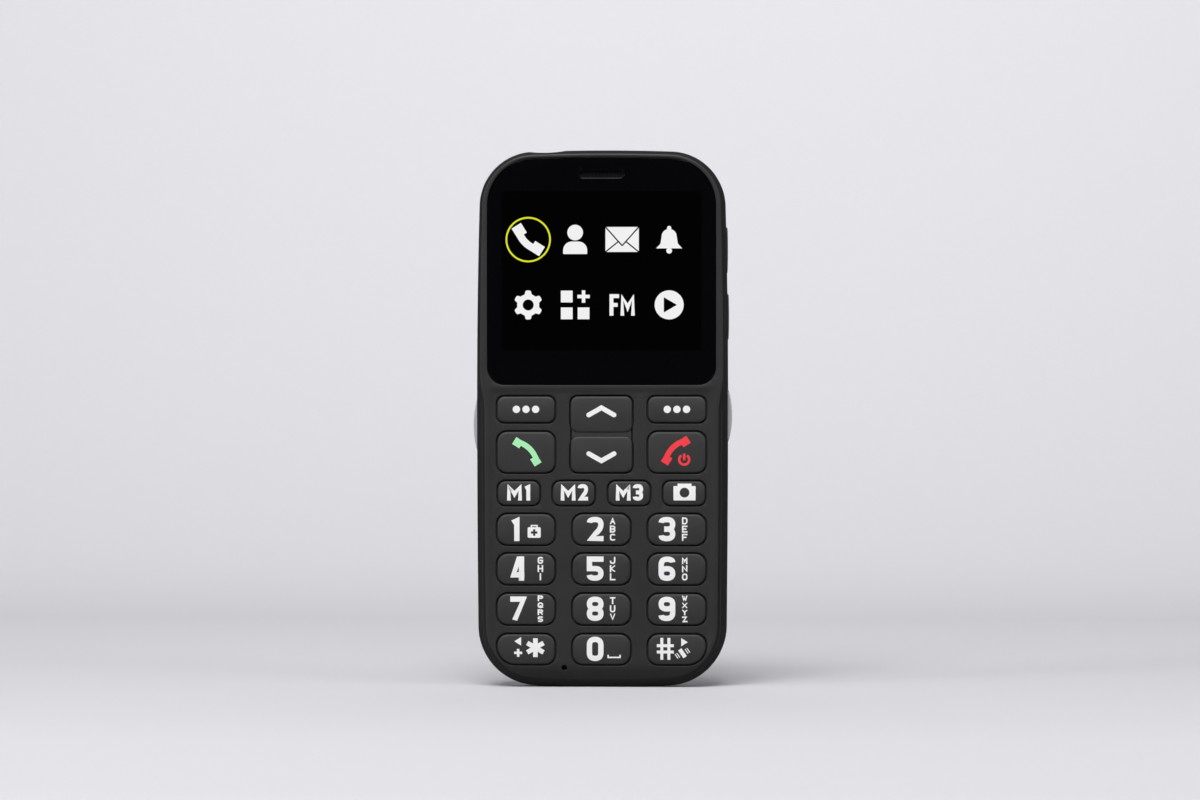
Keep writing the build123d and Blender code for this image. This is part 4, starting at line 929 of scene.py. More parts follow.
def finish_piece(piece, body, slot, material, *nodes):
    """Give a piece its finish and body, and the CAD nodes it stands for."""
    piece.data.materials.clear()
    piece.data.materials.append(bpy.data.materials[material])
    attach(piece, body)
    if nodes:
        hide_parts(*nodes)
    return piece


class PHONE_OT_finishes(bpy.types.Operator):
    """Make the finishes of all pieces"""

    bl_idname = "phone.finishes"
    bl_label = "Finishes"

    def execute(self, context):
        finish = context.scene.phone_finish
        glow = context.scene.phone_screen.glow
        moulded("Housing plastic", finish.housing, roughness=0.46)
        moulded("Key plastic", finish.keys, roughness=0.5)
        moulded("Frame plastic", (0.025, 0.025, 0.026), roughness=0.55)
        moulded("Socket plastic", (0.018, 0.018, 0.018), roughness=0.4)
        moulded("Silicone", (0.06, 0.06, 0.062), roughness=0.7)
        moulded("Dome film", (0.62, 0.62, 0.58), roughness=0.3)
        moulded("Flex film", (0.5, 0.21, 0.04), roughness=0.25)
        moulded("Lamp phosphor", (0.8, 0.72, 0.3), roughness=0.4)
        glossy("Black window", finish.window)
        glossy("Dark screen", (0.0002, 0.0002, 0.0002))
        clear("Smoked lens", (0.012, 0.012, 0.016))
        clear("Torch lens", (0.72, 0.74, 0.76))
        printed("White print", finish.white)
        printed("Green print", finish.green)
        printed("Red print", finish.red)
        painted_silver("Silver paint", finish.silver)
        metal("Plain steel", (0.56, 0.56, 0.57), roughness=0.3)
        metal("Dark mesh", (0.03, 0.03, 0.032), roughness=0.45)
        metal("Gold plate", (0.83, 0.6, 0.24), roughness=0.25)
        circuit("Solder mask")
        wrapped("Battery wrap", (0.02, 0.021, 0.024), stripe=(0.5, 0.51, 0.53))
        lit("Lit white", (0.92, 0.92, 0.92), glow)
        lit("Lit yellow", finish.yellow, glow)
        return {"FINISHED"}


# Shape of the front


def phone_outline():
    """Loop of the phone's silhouette."""
    outline = bpy.context.scene.phone_outline
    return barrel(
        cover_high.x,
        housing_high.z * outline.widest_share,
        housing_high.z,
        -outline.foot_cut,
        (outline.top_crown, outline.bottom_crown),
        (outline.top_narrowing, outline.bottom_narrowing),
        (outline.top_corner, outline.bottom_corner),
    )


def window_outline():
    """Loop of the display window."""
    outline = bpy.context.scene.phone_outline
    return barrel(
        window_high.x,
        (window_low.z + window_high.z) / 2,
        window_high.z,
        window_low.z,
        (outline.window_crown, 0),
        (0, 0),
        (outline.window_top_corner, outline.window_bottom_corner),
    )


class Face:
    """Heights and depths of the front housing's surface."""

    def __init__(self):
        self.sizes = bpy.context.scene.phone_face
        self.outline = phone_outline()
        jack_low, jack_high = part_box("headphone_jack")
        self.jack_x = (jack_low.x + jack_high.x) / 2
        self.mouth_z = jack_high.z
        self.scoop_radius = bulge(self.sizes.scoop_width / 2, self.sizes.scoop_dip)
        self.field_top = window_low.z - self.sizes.field_drop

    def trimmed(self, x, z):
        """Height cut by the flat of the foot and by the scoop in the top edge."""
        off = x - self.jack_x
        if abs(off) < self.scoop_radius:
            dip = self.scoop_radius - sqrt(self.scoop_radius**2 - off**2)
            z = min(z, self.mouth_z + dip)
        return max(z, 0)

    def line(self, inset, depth):
        """Points in space that lie this far inside the silhouette; both may follow the height."""
        made = []
        for point, normal in self.outline:
            place = point - normal * (inset(point.y) if callable(inset) else inset)
            z = self.trimmed(place.x, place.y)
            made.append((place.x, depth(place.x, z), z))
        return made

    def roll_width(self, z):
        """Width of the sloping edge, wider beside the keys."""
        sizes = self.sizes
        mix = smooth_step((self.field_top + sizes.roll_change / 3 - z) / sizes.roll_change)
        return sizes.window_roll + (sizes.keypad_roll - sizes.window_roll) * mix

    def inset(self, x, z):
        """Distance of a place from the silhouette."""
        place = Vector((x, z))
        point, normal = min(self.outline, key=lambda pair: (pair[0] - place).length_squared)
        return (point - place).dot(normal)

    def chin(self, z, wall=0):
        """Depth of the chin's roll, or of its inside."""
        sizes = self.sizes
        below = min(max(sizes.chin_top - z, 0), sizes.chin_top)
        return rim_y + sizes.chin_radius - sqrt((sizes.chin_radius - wall) ** 2 - below**2)

    def depth(self, x, z):
        """Y of the surface inside the rolled edges."""
        sizes = self.sizes
        reach = min(self.inset(x, z) - sizes.field_inset, self.field_top - z)
        field = rim_y + sizes.field_depth * smooth_step(reach / sizes.field_slope)
        return soft_high(field, self.chin(z), sizes.blend)

    def back(self, x, z):
        """Y of the skin behind it."""
        return max(rim_y + self.sizes.face_wall, self.chin(z, self.sizes.chin_wall))

    def detail_points(self):
        """Points that let the skin follow the key field's slope and the chin."""
        sizes = self.sizes
        made = []
        for step in range(FIELD_STEPS + 1):
            reach = sizes.field_inset + sizes.field_slope * step / FIELD_STEPS
            top = self.field_top - (reach - sizes.field_inset)
            loop = [point - normal * reach for point, normal in self.outline]
            made += [point for point in loop if point.y < top]
            left, right = min(p.x for p in loop), max(p.x for p in loop)
            count = round((right - left) / DETAIL_PITCH)
            made += [Vector((left + (right - left) * i / count, top)) for i in range(1, count)]
        width = cover_high.x - sizes.field_inset - sizes.field_slope
        low = Vector((-width, sizes.keypad_roll))
        made += lattice(low, Vector((width, sizes.chin_top + DETAIL_PITCH)), DETAIL_PITCH)
        return [
            point
            for point in made
            if self.inset(*point) > self.roll_width(point.y) + DETAIL_PITCH / 4
        ]


KEY_NAMES = ["soft_key_left", "soft_key_right", "call_key", "end_key"]
KEY_NAMES += ["key_m1", "key_m2", "key_m3", "camera_key"]
KEY_NAMES += ["key_" + name for name in "1 2 3 4 5 6 7 8 9 star 0 hash".split()]


def hole_size(name):
    """Middle, half width and half height of a key's hole, from its node's flange."""
    flange = bpy.context.scene.phone_keys.flange
    low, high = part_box(name)
    middle = Vector(((low.x + high.x) / 2, (low.z + high.z) / 2))
    return middle, (high.x - low.x) / 2 - flange, (high.z - low.z) / 2 - flange


def hole_radii(name, half_height):
    """Corner radii of a key's hole: upper right, lower right, lower left, upper left."""
    keys = bpy.context.scene.phone_keys
    if name.startswith("soft"):
        plain = keys.soft_radius
    elif name in ("call_key", "end_key"):
        plain = keys.call_radius
    elif name.startswith("key_m") or name == "camera_key":
        plain = keys.menu_radius
    else:
        plain = keys.digit_radius
    wide = keys.wide_share * 2 * half_height
    lower_right = wide if name == "key_hash" else plain
    lower_left = wide if name == "key_star" else plain
    return plain, lower_right, lower_left, plain


def key_hole(name, grow=0):
    """Loop of a key's hole, grown by a distance."""
    middle, half_width, half_height = hole_size(name)
    radii = [radius + grow for radius in hole_radii(name, half_height)]
    return rounded_box(middle, half_width + grow, half_height + grow, radii)


def nav_pads():
    """The two pads of the navigation key, as caps from top to bottom."""
    keys = bpy.context.scene.phone_keys
    middle, half_width, half_height = hole_size("nav_key")
    pad_half = (half_height - keys.gap - keys.pad_gap / 2) / 2
    rise = Vector((0, half_height - keys.gap - pad_half))
    return [Cap(place, half_width - keys.gap, pad_half) for place in (middle + rise, middle - rise)]


def nav_hole(grow=0):
    """Loop of the navigation key's hole, narrower at its middle."""
    keys = bpy.context.scene.phone_keys
    middle, half_width, half_height = hole_size("nav_key")
    radius = keys.nav_radius
    centre = Vector((half_width - radius, half_height - radius))
    right = arc(centre, radius, pi / 2, 0, NAV_STEPS)
    for step in range(WAIST_STEPS + 1):
        z = keys.waist_reach * (1 - 2 * step / WAIST_STEPS)
        share_of_waist = smooth_step((keys.waist_reach - abs(z)) / keys.waist_slope)
        right.append((Vector((half_width - keys.bridge_inset * share_of_waist, z)), Vector((1, 0))))
    right += arc(Vector((centre.x, -centre.y)), radius, 0, -pi / 2, NAV_STEPS)
    right.append((Vector((centre.x, -half_height)), Vector((0, -1))))
    loop = right + mirrored(right)
    return [(middle + point + normal * grow, normal) for point, normal in loop]


# Lettering: each line runs over a field 4 wide and 6 high, through points given as column and row.
# An r rounds that corner, and a c closes the line.
GLYPHS = {
    "0": "00r 06r 46r 40r c",
    "1": "05 36 30",
    "2": "05 06r 46r 43r 00 40",
    "3": "05 06r 46r 43r 23|23 43r 40r 00r 01",
    "4": "30 36|26 01 41",
    "5": "46 06 03 43r 40r 00r 01",
    "6": "00r 03r 43r 40r c|02 06r 46r 45",
    "7": "06 46 10",
    "8": "03r 06r 46r 43r c|00r 03r 43r 40r c",
    "9": "03r 06r 46r 43r c|44 40r 00r 01",
    "A": "00 26 40|12 32",
    "B": "00 06 46r 43r 03|23 43r 40r 00",
    "C": "45 46r 06r 00r 40r 41",
    "D": "00 06 46r 40r c",
    "E": "46 06 00 40|03 33",
    "F": "46 06 00|03 33",
    "G": "45 46r 06r 00r 40r 43 23",
    "H": "00 06|40 46|03 43",
    "I": "20 26",
    "J": "46 40r 00r 02",
    "K": "00 06|46 03 40",
    "L": "06 00 40",
    "M": "00 06 22 46 40",
    "N": "00 06 40 46",
    "O": "00r 06r 46r 40r c",
    "P": "00 06 46r 43r 03",
    "Q": "00r 06r 46r 40r c|22 50",
    "R": "00 06 46r 43r 03|23 40",
    "S": "45 46r 06r 03r 43r 40r 00r 01",
    "T": "06 46|26 20",
    "U": "06 00r 40r 46",
    "V": "06 20 46",
    "W": "06 10 24 30 46",
    "X": "00 46|40 06",
    "Y": "06 23 46|23 20",
    "Z": "06 46 00 40",
    "*": "20 26|05 41|01 45",
    "#": "10 16|30 36|02 42|04 44",
    "+": "20 26|03 43",
}
GLYPH_COLUMNS = 4
GLYPH_ROWS = 6
# Lines that end in these rows stop short, as curved ones do
OPEN_ROWS = "15"


def softened(path, reach):
    """A path whose marked corners are rounded."""
    made = []
    for i, (corner, is_round) in enumerate(path):
        if not is_round:
            made.append(corner)
            continue
        arms = []
        for other, other_round in (path[i - 1], path[(i + 1) % len(path)]):
            way = other - corner
            room = way.length / 2 if other_round else way.length
            arms.append(corner + way.normalized() * min(reach, room))
        for step in range(CURVE_STEPS + 1):
            along = step / CURVE_STEPS
            made.append(arms[0].lerp(corner, along).lerp(corner.lerp(arms[1], along), along))
    return [point for i, point in enumerate(made) if (point - made[i - 1]).length > TINY]


def divided(loop, pitch):
    """A closed loop with extra points, so that no stretch of it is longer than the pitch."""
    made = []
    for start, end in zip(loop, loop[1:] + loop[:1]):
        count = max(1, round((end - start).length / pitch + 0.5))
        made += [start.lerp(end, i / count) for i in range(count)]
    return made


def in_turn(corners):
    """The corners of a piece in the order in which they lie round its middle."""
    middle = sum(corners, Vector((0, 0))) / len(corners)
    return sorted(corners, key=lambda point: direction(middle, point))


def stroked(points, width, closed=False):
    """Four-sided pieces of a line of this width, mitred where it turns."""
    count = len(points)
    sides = []
    for i, point in enumerate(points):
        ways = []
        if closed or i > 0:
            ways.append((point - points[i - 1]).normalized())
        if closed or i < count - 1:
            ways.append((points[(i + 1) % count] - point).normalized())
        way = sum(ways, Vector((0, 0))).normalized()
        across = Vector((-way.y, way.x)) * (width / 2)
        across /= max(MITRE_LIMIT, way.dot(ways[0]))
        sides.append((point + across, point - across))
    ends = sides[1:] + sides[:1] if closed else sides[1:]
    corners = [[*start, *end] for start, end in zip(sides, ends)]
    return [in_turn(piece) for piece in corners]


def glyph(name, corner, width, height, stroke):
    """Pieces of one character; the corner is its lower left."""
    inner = Vector(((width - stroke) / GLYPH_COLUMNS, (height - stroke) / GLYPH_ROWS))
    start = corner + Vector((stroke, stroke)) / 2
    pieces = []
    for line in GLYPHS[name].split("|"):
        marks = line.split()
        closed = marks[-1] == "c"
        path = []
        for mark in marks[:-1] if closed else marks:
            place = Vector((int(mark[0]) * inner.x, int(mark[1]) * inner.y))
            path.append((start + place, mark.endswith("r")))
        points = softened(path, inner.x * GLYPH_COLUMNS / 2)
        for end, before in () if closed else ((0, 1), (-1, -2)):
            if marks[end][1] not in OPEN_ROWS:
                points[end] = points[end] + (points[end] - points[before]).normalized() * stroke / 2
        pieces += stroked(points, stroke, closed)
    for point in [point for piece in pieces for point in piece]:
        point.x = min(max(point.x, corner.x), corner.x + width)
        point.y = min(max(point.y, corner.y), corner.y + height)
    return pieces


def column(text, middle, width, height, stroke, pitch):
    """Pieces of a column of characters, centred on a point, from top to bottom."""
    pieces = []
    for i, name in enumerate(text):
        drop = (i - (len(text) - 1) / 2) * pitch
        corner = middle - Vector((width / 2, height / 2 + drop))
        pieces += glyph(name, corner, width, height, stroke)
    return pieces


def box_loop(middle, width, height, angle=0):
    """Four corners of a turned rectangle."""
    turned = Matrix.Rotation(angle, 2)
    corners = ((-1, -1), (1, -1), (1, 1), (-1, 1))
    return [middle + turned @ Vector((x * width / 2, y * height / 2)) for x, y in corners]


# Receiver, as shares of its half size: the bow, its stroke on the keys and on the screen, and its grips
HANDSET_RADIUS_SHARE = 1.8
HANDSET_SHIFT_SHARE = 1.07
HANDSET_STROKE_SHARE = 0.37
PICTURE_STROKE_SHARE = 0.5
GRIP_PLACE_SHARE = 0.62
# Width and height of a grip, as shares of the stroke; turns of the bow and of both grips in degrees
GRIP_SHARES = (1.57, 1.5)
HANDSET_START, HANDSET_SWEEP = 77, -64
GRIP_TURNS = (-32, -58)


def bow(middle, radius, start, sweep, count):
    """Points along an arc of a circle, angles in degrees, both ends included."""
    made = []
    for step in range(count + 1):
        angle = radians(start + sweep * step / count)
        made.append(middle + radius * Vector((cos(angle), sin(angle))))
    return made


def handset(middle, size, flip=(1, 1), weight=HANDSET_STROKE_SHARE):
    """Pieces of a telephone receiver that bulges up and right, or the flipped way."""
    centre = Vector((-HANDSET_SHIFT_SHARE, -HANDSET_SHIFT_SHARE))
    path = bow(centre, HANDSET_RADIUS_SHARE, HANDSET_START, HANDSET_SWEEP, HANDSET_STEPS)
    loops = stroked(path, weight)
    for side, angle in zip((-1, 1), GRIP_TURNS):
        place = Vector((side, -side)) * GRIP_PLACE_SHARE
        loops.append(box_loop(place, *(weight * grip for grip in GRIP_SHARES), radians(angle)))
    return [
        [middle + Vector((point.x * flip[0], point.y * flip[1])) * size for point in loop]
        for loop in loops
    ]


# Power sign: angles of its open ring in degrees, and its bar's place and length as shares of the radius
POWER_START, POWER_SWEEP = 125, 290
POWER_BAR_SHARES = (0.55, 1.35)


def power_sign(middle, radius, stroke):
    """Pieces of an open ring with a bar in its gap."""
    path = bow(middle, radius, POWER_START, POWER_SWEEP, 2 * HANDSET_STEPS)
    rise, height = (radius * part for part in POWER_BAR_SHARES)
    return stroked(path, stroke) + [box_loop(middle + Vector((0, rise)), stroke, height)]


def rounded_line(points, stroke):
    """Pieces of a line with round ends and corners."""
    ends = [points_of(disc(point, stroke / 2, END_STEPS)) for point in points]
    return stroked(points, stroke) + ends


def ring_pieces(middle, radius, stroke):
    """Solid and hole of a ring."""
    outer, inner = ([points_of(disc(middle, radius + stroke / 2 * way, RING_STEPS))] for way in (1, -1))
    return outer, inner


# Gear: its teeth, the radius between them as a share, and how wide and how soft a tooth is
GEAR_TEETH = 6
GEAR_ROOT_SHARE = 0.76
TOOTH_LEAD, TOOTH_SPAN = 0.45, 1.1


def gear_loop(middle, radius):
    """Outline of a gear with soft teeth, one of them on top."""
    loop = []
    for step in range(GEAR_STEPS):
        angle = 2 * pi * step / GEAR_STEPS
        tooth = smooth_step((cos(GEAR_TEETH * (angle - pi / 2)) + TOOTH_LEAD) / TOOTH_SPAN)
        reach = radius * (GEAR_ROOT_SHARE + (1 - GEAR_ROOT_SHARE) * tooth)
        loop.append(middle + reach * Vector((cos(angle), sin(angle))))
    return loop


# Bell, as shares of its half size: its flared side, its dome's height and radius, and the height, radius
# and steps of the knob on top and of the clapper
BELL_SIDE_SHARES = ((0.9, -0.62), (0.6, -0.3))
BELL_DOME_SHARES = (0.2, 0.52)
BELL_KNOB_SHARES = ((0.78, 0.15, 12), (-0.78, 0.2, 14))


def bell_pieces(middle, size):
    """Pieces of a bell."""
    height, radius = BELL_DOME_SHARES
    dome = arc(Vector((0, height)), radius, 0, pi, END_STEPS)
    body = [Vector(place) for place in BELL_SIDE_SHARES] + points_of(dome)
    body.append(Vector((-radius, height)))
    body += [Vector((-x, z)) for x, z in BELL_SIDE_SHARES[::-1]]
    knobs = [
        points_of(disc(Vector((0, z)), knob_radius, steps)) for z, knob_radius, steps in BELL_KNOB_SHARES
    ]
    return [[middle + point * size for point in loop] for loop in [body, *knobs]]


class Cap:
    """Surface of one keycap or pad, with what is printed on it."""

    def __init__(self, middle, half_width, half_height):
        self.middle = middle
        self.half_width = half_width
        self.half_height = half_height
        self.keys = bpy.context.scene.phone_keys

    def depth(self, x, z):
        """Y of the crowned face."""
        across = (x - self.middle.x) / self.half_width
        along = (z - self.middle.y) / self.half_height
        return crown_y + self.keys.crown * along**2 + self.keys.dip * across**2

    def place(self, x, z):
        """Point this many millimetres right of and above the middle."""
        return self.middle + Vector((x, z)) * MM

    def line(self, places):
        """Points at these places."""
        return [self.place(*place) for place in places]

    def box(self, place, width, height, degrees=0):
        """Turned rectangle at a place, its sizes in millimetres."""
        return box_loop(self.place(*place), width * MM, height * MM, radians(degrees))

    def printed(self, name, body, pieces, holes=(), material="White print"):
        """One raised print on the cap."""
        legends = bpy.context.scene.phone_legends
        pieces = [divided(loop, LEGEND_PITCH) for loop in pieces]
        corners = [point for loop in pieces for point in loop]
        low = Vector((min(p.x for p in corners), min(p.y for p in corners)))
        high = Vector((max(p.x for p in corners), max(p.y for p in corners)))
        form = Form()
        form.solid(
            pieces,
            list(holes),
            lattice(low, high, LEGEND_PITCH),
            lambda x, z: self.depth(x, z) - legends.ink,
            lambda x, z: self.depth(x, z) + legends.root,
        )
        piece = form.finish(name, weighted=False)
        finish_piece(piece, body, "key_plastic", material)


def cap_of(name):
    """Cap of a single key."""
    gap = bpy.context.scene.phone_keys.gap
    middle, half_width, half_height = hole_size(name)
    return Cap(middle, half_width - gap, half_height - gap)


def keycap_tree():
    """Node tree that shapes a crowned keycap out of a square grid."""
    names = ["Half width", "Half height", "Radius", "Left radius", "Right radius"]
    names += ["Edge", "Crown", "Dip", "Skirt"]
    nodes, inputs = shape_tree("Keycap", names)
    width, height, radius, left, right, edge, crown, dip, skirt, middle, material = inputs
    count = 2 * CAP_RINGS + 1
    grid = nodes.add(
        "GeometryNodeMeshGrid",
        {},
        {"Size X": 2.0, "Size Y": 2.0, "Vertices X": count, "Vertices Y": count},
    )
    position = nodes.add("GeometryNodeInputPosition")
    u = nodes.add("ShaderNodeSeparateXYZ", {}, (position,))
    v = nodes.output(u, "Y")
    low_side = v < 0
    corner = radius + low_side * ((u < 0) * (left - radius) + (u > 0) * (right - radius))
    # Foot of each grid point on the rounded rectangle: the nearest point of its core, and the way out
    reach = abs(u).high(abs(v)).high(TINY)
    foot_x = u / reach * width
    foot_z = v / reach * height
    core_x = foot_x.low(width - corner).high(corner - width)
    core_z = foot_z.low(height - corner).high(corner - height)
    out_x = foot_x - core_x
    out_z = foot_z - core_z
    span = (out_x * out_x + out_z * out_z).root().high(TINY * TINY)
    ring = reach * CAP_RINGS
    face_rings = CAP_RINGS - EDGE_STEPS - 1
    inside = (ring / face_rings).clip()
    bend = ((ring - face_rings) / EDGE_STEPS).clip() * (pi / 2)
    side = corner - edge + edge * bend.sine()

    def crowned(x, z):
        return crown * (z / height) * (z / height) + dip * (x / width) * (x / width)

    front_x = (core_x + out_x / span * side) * inside
    front_z = (core_z + out_z / span * side) * inside
    fall = edge * (1 - bend.cosine()) + skirt * (ring - (CAP_RINGS - 1)).clip()
    front_y = crowned(front_x, front_z) + fall
    back_x = (core_x + out_x / span * corner) * reach
    back_z = (core_z + out_z / span * corner) * reach
    back_y = crowned(back_x, back_z) + edge + skirt
    sheets = []
    for x, y, z in ((front_x, front_y, front_z), (back_x, back_y, back_z)):
        place = nodes.vector(x, y, z)
        shifted = nodes.add("ShaderNodeVectorMath", {"operation": "ADD"}, (place, middle))
        sheets.append(nodes.add("GeometryNodeSetPosition", {}, {"Geometry": grid, "Position": shifted}))
    front, back = sheets
    back = nodes.add("GeometryNodeFlipFaces", {}, (back,))
    joined = nodes.add("GeometryNodeJoinGeometry", {}, ([back, front],))
    merged = nodes.add(
        "GeometryNodeMergeByDistance", {}, {"Geometry": joined, "Distance": MERGE_DISTANCE}
    )
    nodes.end(merged, material)
    return nodes.tree


def mesh_of_tree(tree, inputs):
    """Mesh that a node tree makes from these inputs."""
    holder = bpy.data.objects.new(tree.name, bpy.data.meshes.new(tree.name))
    bpy.context.scene.collection.objects.link(holder)
    modifier = holder.modifiers.new(tree.name, "NODES")
    modifier.node_group = tree
    for item in tree.interface.items_tree:
        if item.in_out == "INPUT" and item.name in inputs:
            modifier[item.identifier] = inputs[item.name]
    data = evaluated(holder)
    bpy.data.objects.remove(holder)
    return data


def cap_mesh(tree, cap, radii, skirt):
    """Mesh of one keycap; radii as for a key's hole."""
    keys = bpy.context.scene.phone_keys
    inset = [radius - keys.gap for radius in radii]
    settings = {
        "Half width": cap.half_width,
        "Half height": cap.half_height,
        "Radius": inset[0],
        "Left radius": inset[2],
        "Right radius": inset[1],
        "Edge": keys.edge,
        "Crown": keys.crown,
        "Dip": keys.dip,
        "Skirt": skirt - keys.edge,
        "Middle": (cap.middle.x, crown_y, cap.middle.y),
        "Material": bpy.data.materials["Key plastic"],
    }
    return mesh_of_tree(tree, settings)


class PHONE_OT_front_housing(bpy.types.Operator):
    """Make the moulded front housing: rolled edge, sunken key field, key holes and window pocket"""

    bl_idname = "phone.front_housing"
    bl_label = "Front housing"

    def execute(self, context):
        face = Face()
        sizes = face.sizes
        form = Form()
        rings = []
        for step in range(ROLL_STEPS + 1):
            angle = pi / 2 + (sizes.draft - pi / 2) * step / ROLL_STEPS

            def inset(z):
                return face.roll_width(z) - sizes.fillet * cos(angle)

            def roll(x, z):
                drop = sizes.fillet * (1 - sin(angle))
                return soft_high(rim_y + drop, face.chin(z), sizes.blend)

            rings.append(form.ring(face.line(inset, roll)))
        rings.append(form.ring(face.line(0, flat(band_front_y - sizes.seam))))
        rings.append(form.ring(face.line(sizes.seam, flat(band_front_y))))
        rings.append(form.ring(face.line(sizes.wall, flat(band_front_y))))
        rings.append(form.ring(face.line(sizes.wall, face.back)))
        form.skin(rings)
        rim = [Vector((x, z)) for x, y, z in face.line(face.roll_width, flat(0))]
        inner = [Vector((x, z)) for x, y, z in face.line(sizes.wall, flat(0))]
        window = window_outline()
        boot_low, boot_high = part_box("microphone")
        microphone = Vector(((boot_low.x + boot_high.x) / 2, sizes.microphone_height))
        edges = []
        for step in range(EDGE_STEPS + 1):
            reach = sizes.hole_edge * (1 - sin(pi / 2 * step / EDGE_STEPS))
            holes = [key_hole(name, reach) for name in KEY_NAMES] + [nav_hole(reach)]
            holes.append(grown(window, sizes.window_gap + reach))
            holes.append(disc(microphone, sizes.microphone_radius + reach))
            edges.append(holes)
        for loops in zip(*edges):
            walls = []
            for step, loop in enumerate(loops):
                drop = sizes.hole_edge * (1 - cos(pi / 2 * step / EDGE_STEPS))
                walls.append(form.ring(places(loop, lambda x, z: face.depth(x, z) + drop)))
            walls.append(form.ring(places(loops[-1], face.back)))
            form.skin(walls)
        wide, narrow = edges[0], edges[-1]
        form.region([rim], [points_of(loop) for loop in wide], face.detail_points(), face.depth)
        chin_lines = lattice(
            Vector((min(p.x for p in inner), sizes.wall)),
            Vector((max(p.x for p in inner), sizes.chin_top)),
            DETAIL_PITCH,
        )
        chin_lines = [p for p in chin_lines if face.inset(*p) > sizes.wall + DETAIL_PITCH / 4]
        form.region([inner], [points_of(loop) for loop in narrow], chin_lines, face.back)
        screen_low, screen_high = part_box("display_glass")
        slot_middle, slot_half_width, slot_half_height = earpiece_slot()
        form.solid(
            [points_of(grown(window, sizes.ledge_reach))],
            [
                box_loop(
                    Vector((0, (screen_low.z + screen_high.z) / 2)),
                    screen_high.x - screen_low.x - sizes.ledge_reach,
                    screen_high.z - screen_low.z - sizes.ledge_reach,
                ),
                points_of(stadium(slot_middle, slot_half_width, slot_half_height)),
            ],
            [],
            flat(rim_y + sizes.face_wall),
            flat(rim_y + sizes.face_wall + sizes.ledge),
        )
        piece = form.finish("front_housing_shell")
        finish_piece(piece, "housing", "housing_plastic", "Housing plastic", "front_housing")
        return {"FINISHED"}


def stadium(middle, half_width, half_height):
    """Slot with round ends."""
    return rounded_box(middle, half_width, half_height, [half_height] * 4, SLOT_STEPS)


def earpiece_slot():
    """Middle, half width and half height of the earpiece's slot."""
    face = bpy.context.scene.phone_face
    low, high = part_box("earpiece_mesh")
    middle = Vector(((low.x + high.x) / 2, (low.z + high.z) / 2))
    return (middle, (high.x - low.x) / 2 - face.mesh_margin, (high.z - low.z) / 2 - face.mesh_margin)


class PHONE_OT_window(bpy.types.Operator):
    """Make the black window with its earpiece slot, and the woven mesh behind the slot"""

    bl_idname = "phone.window"
    bl_label = "Window"

    def execute(self, context):
        scene = context.scene
        sizes = scene.phone_face
        slot = stadium(*earpiece_slot())
        form = Form()
        form.plate(window_outline(), [slot], window_low.y, window_high.y, sizes.window_edge)
        piece = form.finish("window_panel")
        finish_piece(piece, "housing", "window_glass", "Black window", "display_window")
        screen = scene.phone_screen
        middle = Vector((0, window_high.z - screen.drop))
        form = Form()
        form.solid(
            [box_loop(middle, screen.width, screen.height)],
            [],
            [],
            flat(window_low.y - screen.film / 2),
            flat(window_low.y + screen.film),
        )
        piece = form.finish("dark_screen", weighted=False)
        finish_piece(piece, "housing", "display", "Dark screen")
        wires = mesh_of_tree(wire_tree(), wire_settings())
        form = Form()
        form.mesh.from_mesh(wires)
        piece = form.finish("earpiece_wires", weighted=False)
        finish_piece(piece, "housing", "mesh_metal", "Dark mesh")
        return {"FINISHED"}


def wire_settings():
    """Inputs of the earpiece's woven mesh."""
    sizes = bpy.context.scene.phone_face
    low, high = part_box("earpiece_mesh")
    middle, half_width, half_height = earpiece_slot()
    return {
        "Width": 2 * (half_width - sizes.mesh_margin / 4),
        "Height": 2 * half_height,
        "Pitch": sizes.wire_pitch,
        "Wire": sizes.wire,
        "Middle": (middle.x, low.y - sizes.wire, middle.y),
        "Material": bpy.data.materials["Dark mesh"],
    }


def wire_tree():
    """Node tree that lays upright and level wires over a rectangle."""
    nodes, inputs = shape_tree("Earpiece wires", ("Width", "Height", "Pitch", "Wire"))
    width, height, pitch, wire, middle, material = inputs
    rows = []
    for span, run, is_level in ((width, height, False), (height, width, True)):
        count = (span / pitch).floor()
        first = count * pitch * -0.5
        offset = (0.0, 0.0, pitch) if is_level else (pitch, 0.0, 0.0)
        start = (0.0, wire, first) if is_level else (first, 0.0, 0.0)
        line = {
            "Count": count + 1,
            "Start Location": nodes.vector(*start),
            "Offset": nodes.vector(*offset),
        }
        rod = {"Vertices": WIRE_SIDES, "Radius": wire / 2, "Depth": run}
        wires = {
            "Points": nodes.add("GeometryNodeMeshLine", {}, line),
            "Instance": nodes.add("GeometryNodeMeshCylinder", {}, rod),
            "Rotation": (0.0, pi / 2, 0.0) if is_level else (0.0, 0.0, 0.0),
        }
        rows.append(nodes.add("GeometryNodeInstanceOnPoints", {}, wires))
    joined = nodes.add("GeometryNodeJoinGeometry", {}, (rows,))
    moved = nodes.add("GeometryNodeTransform", {}, {"Geometry": joined, "Translation": middle})
    nodes.end(moved, material)
    return nodes.tree


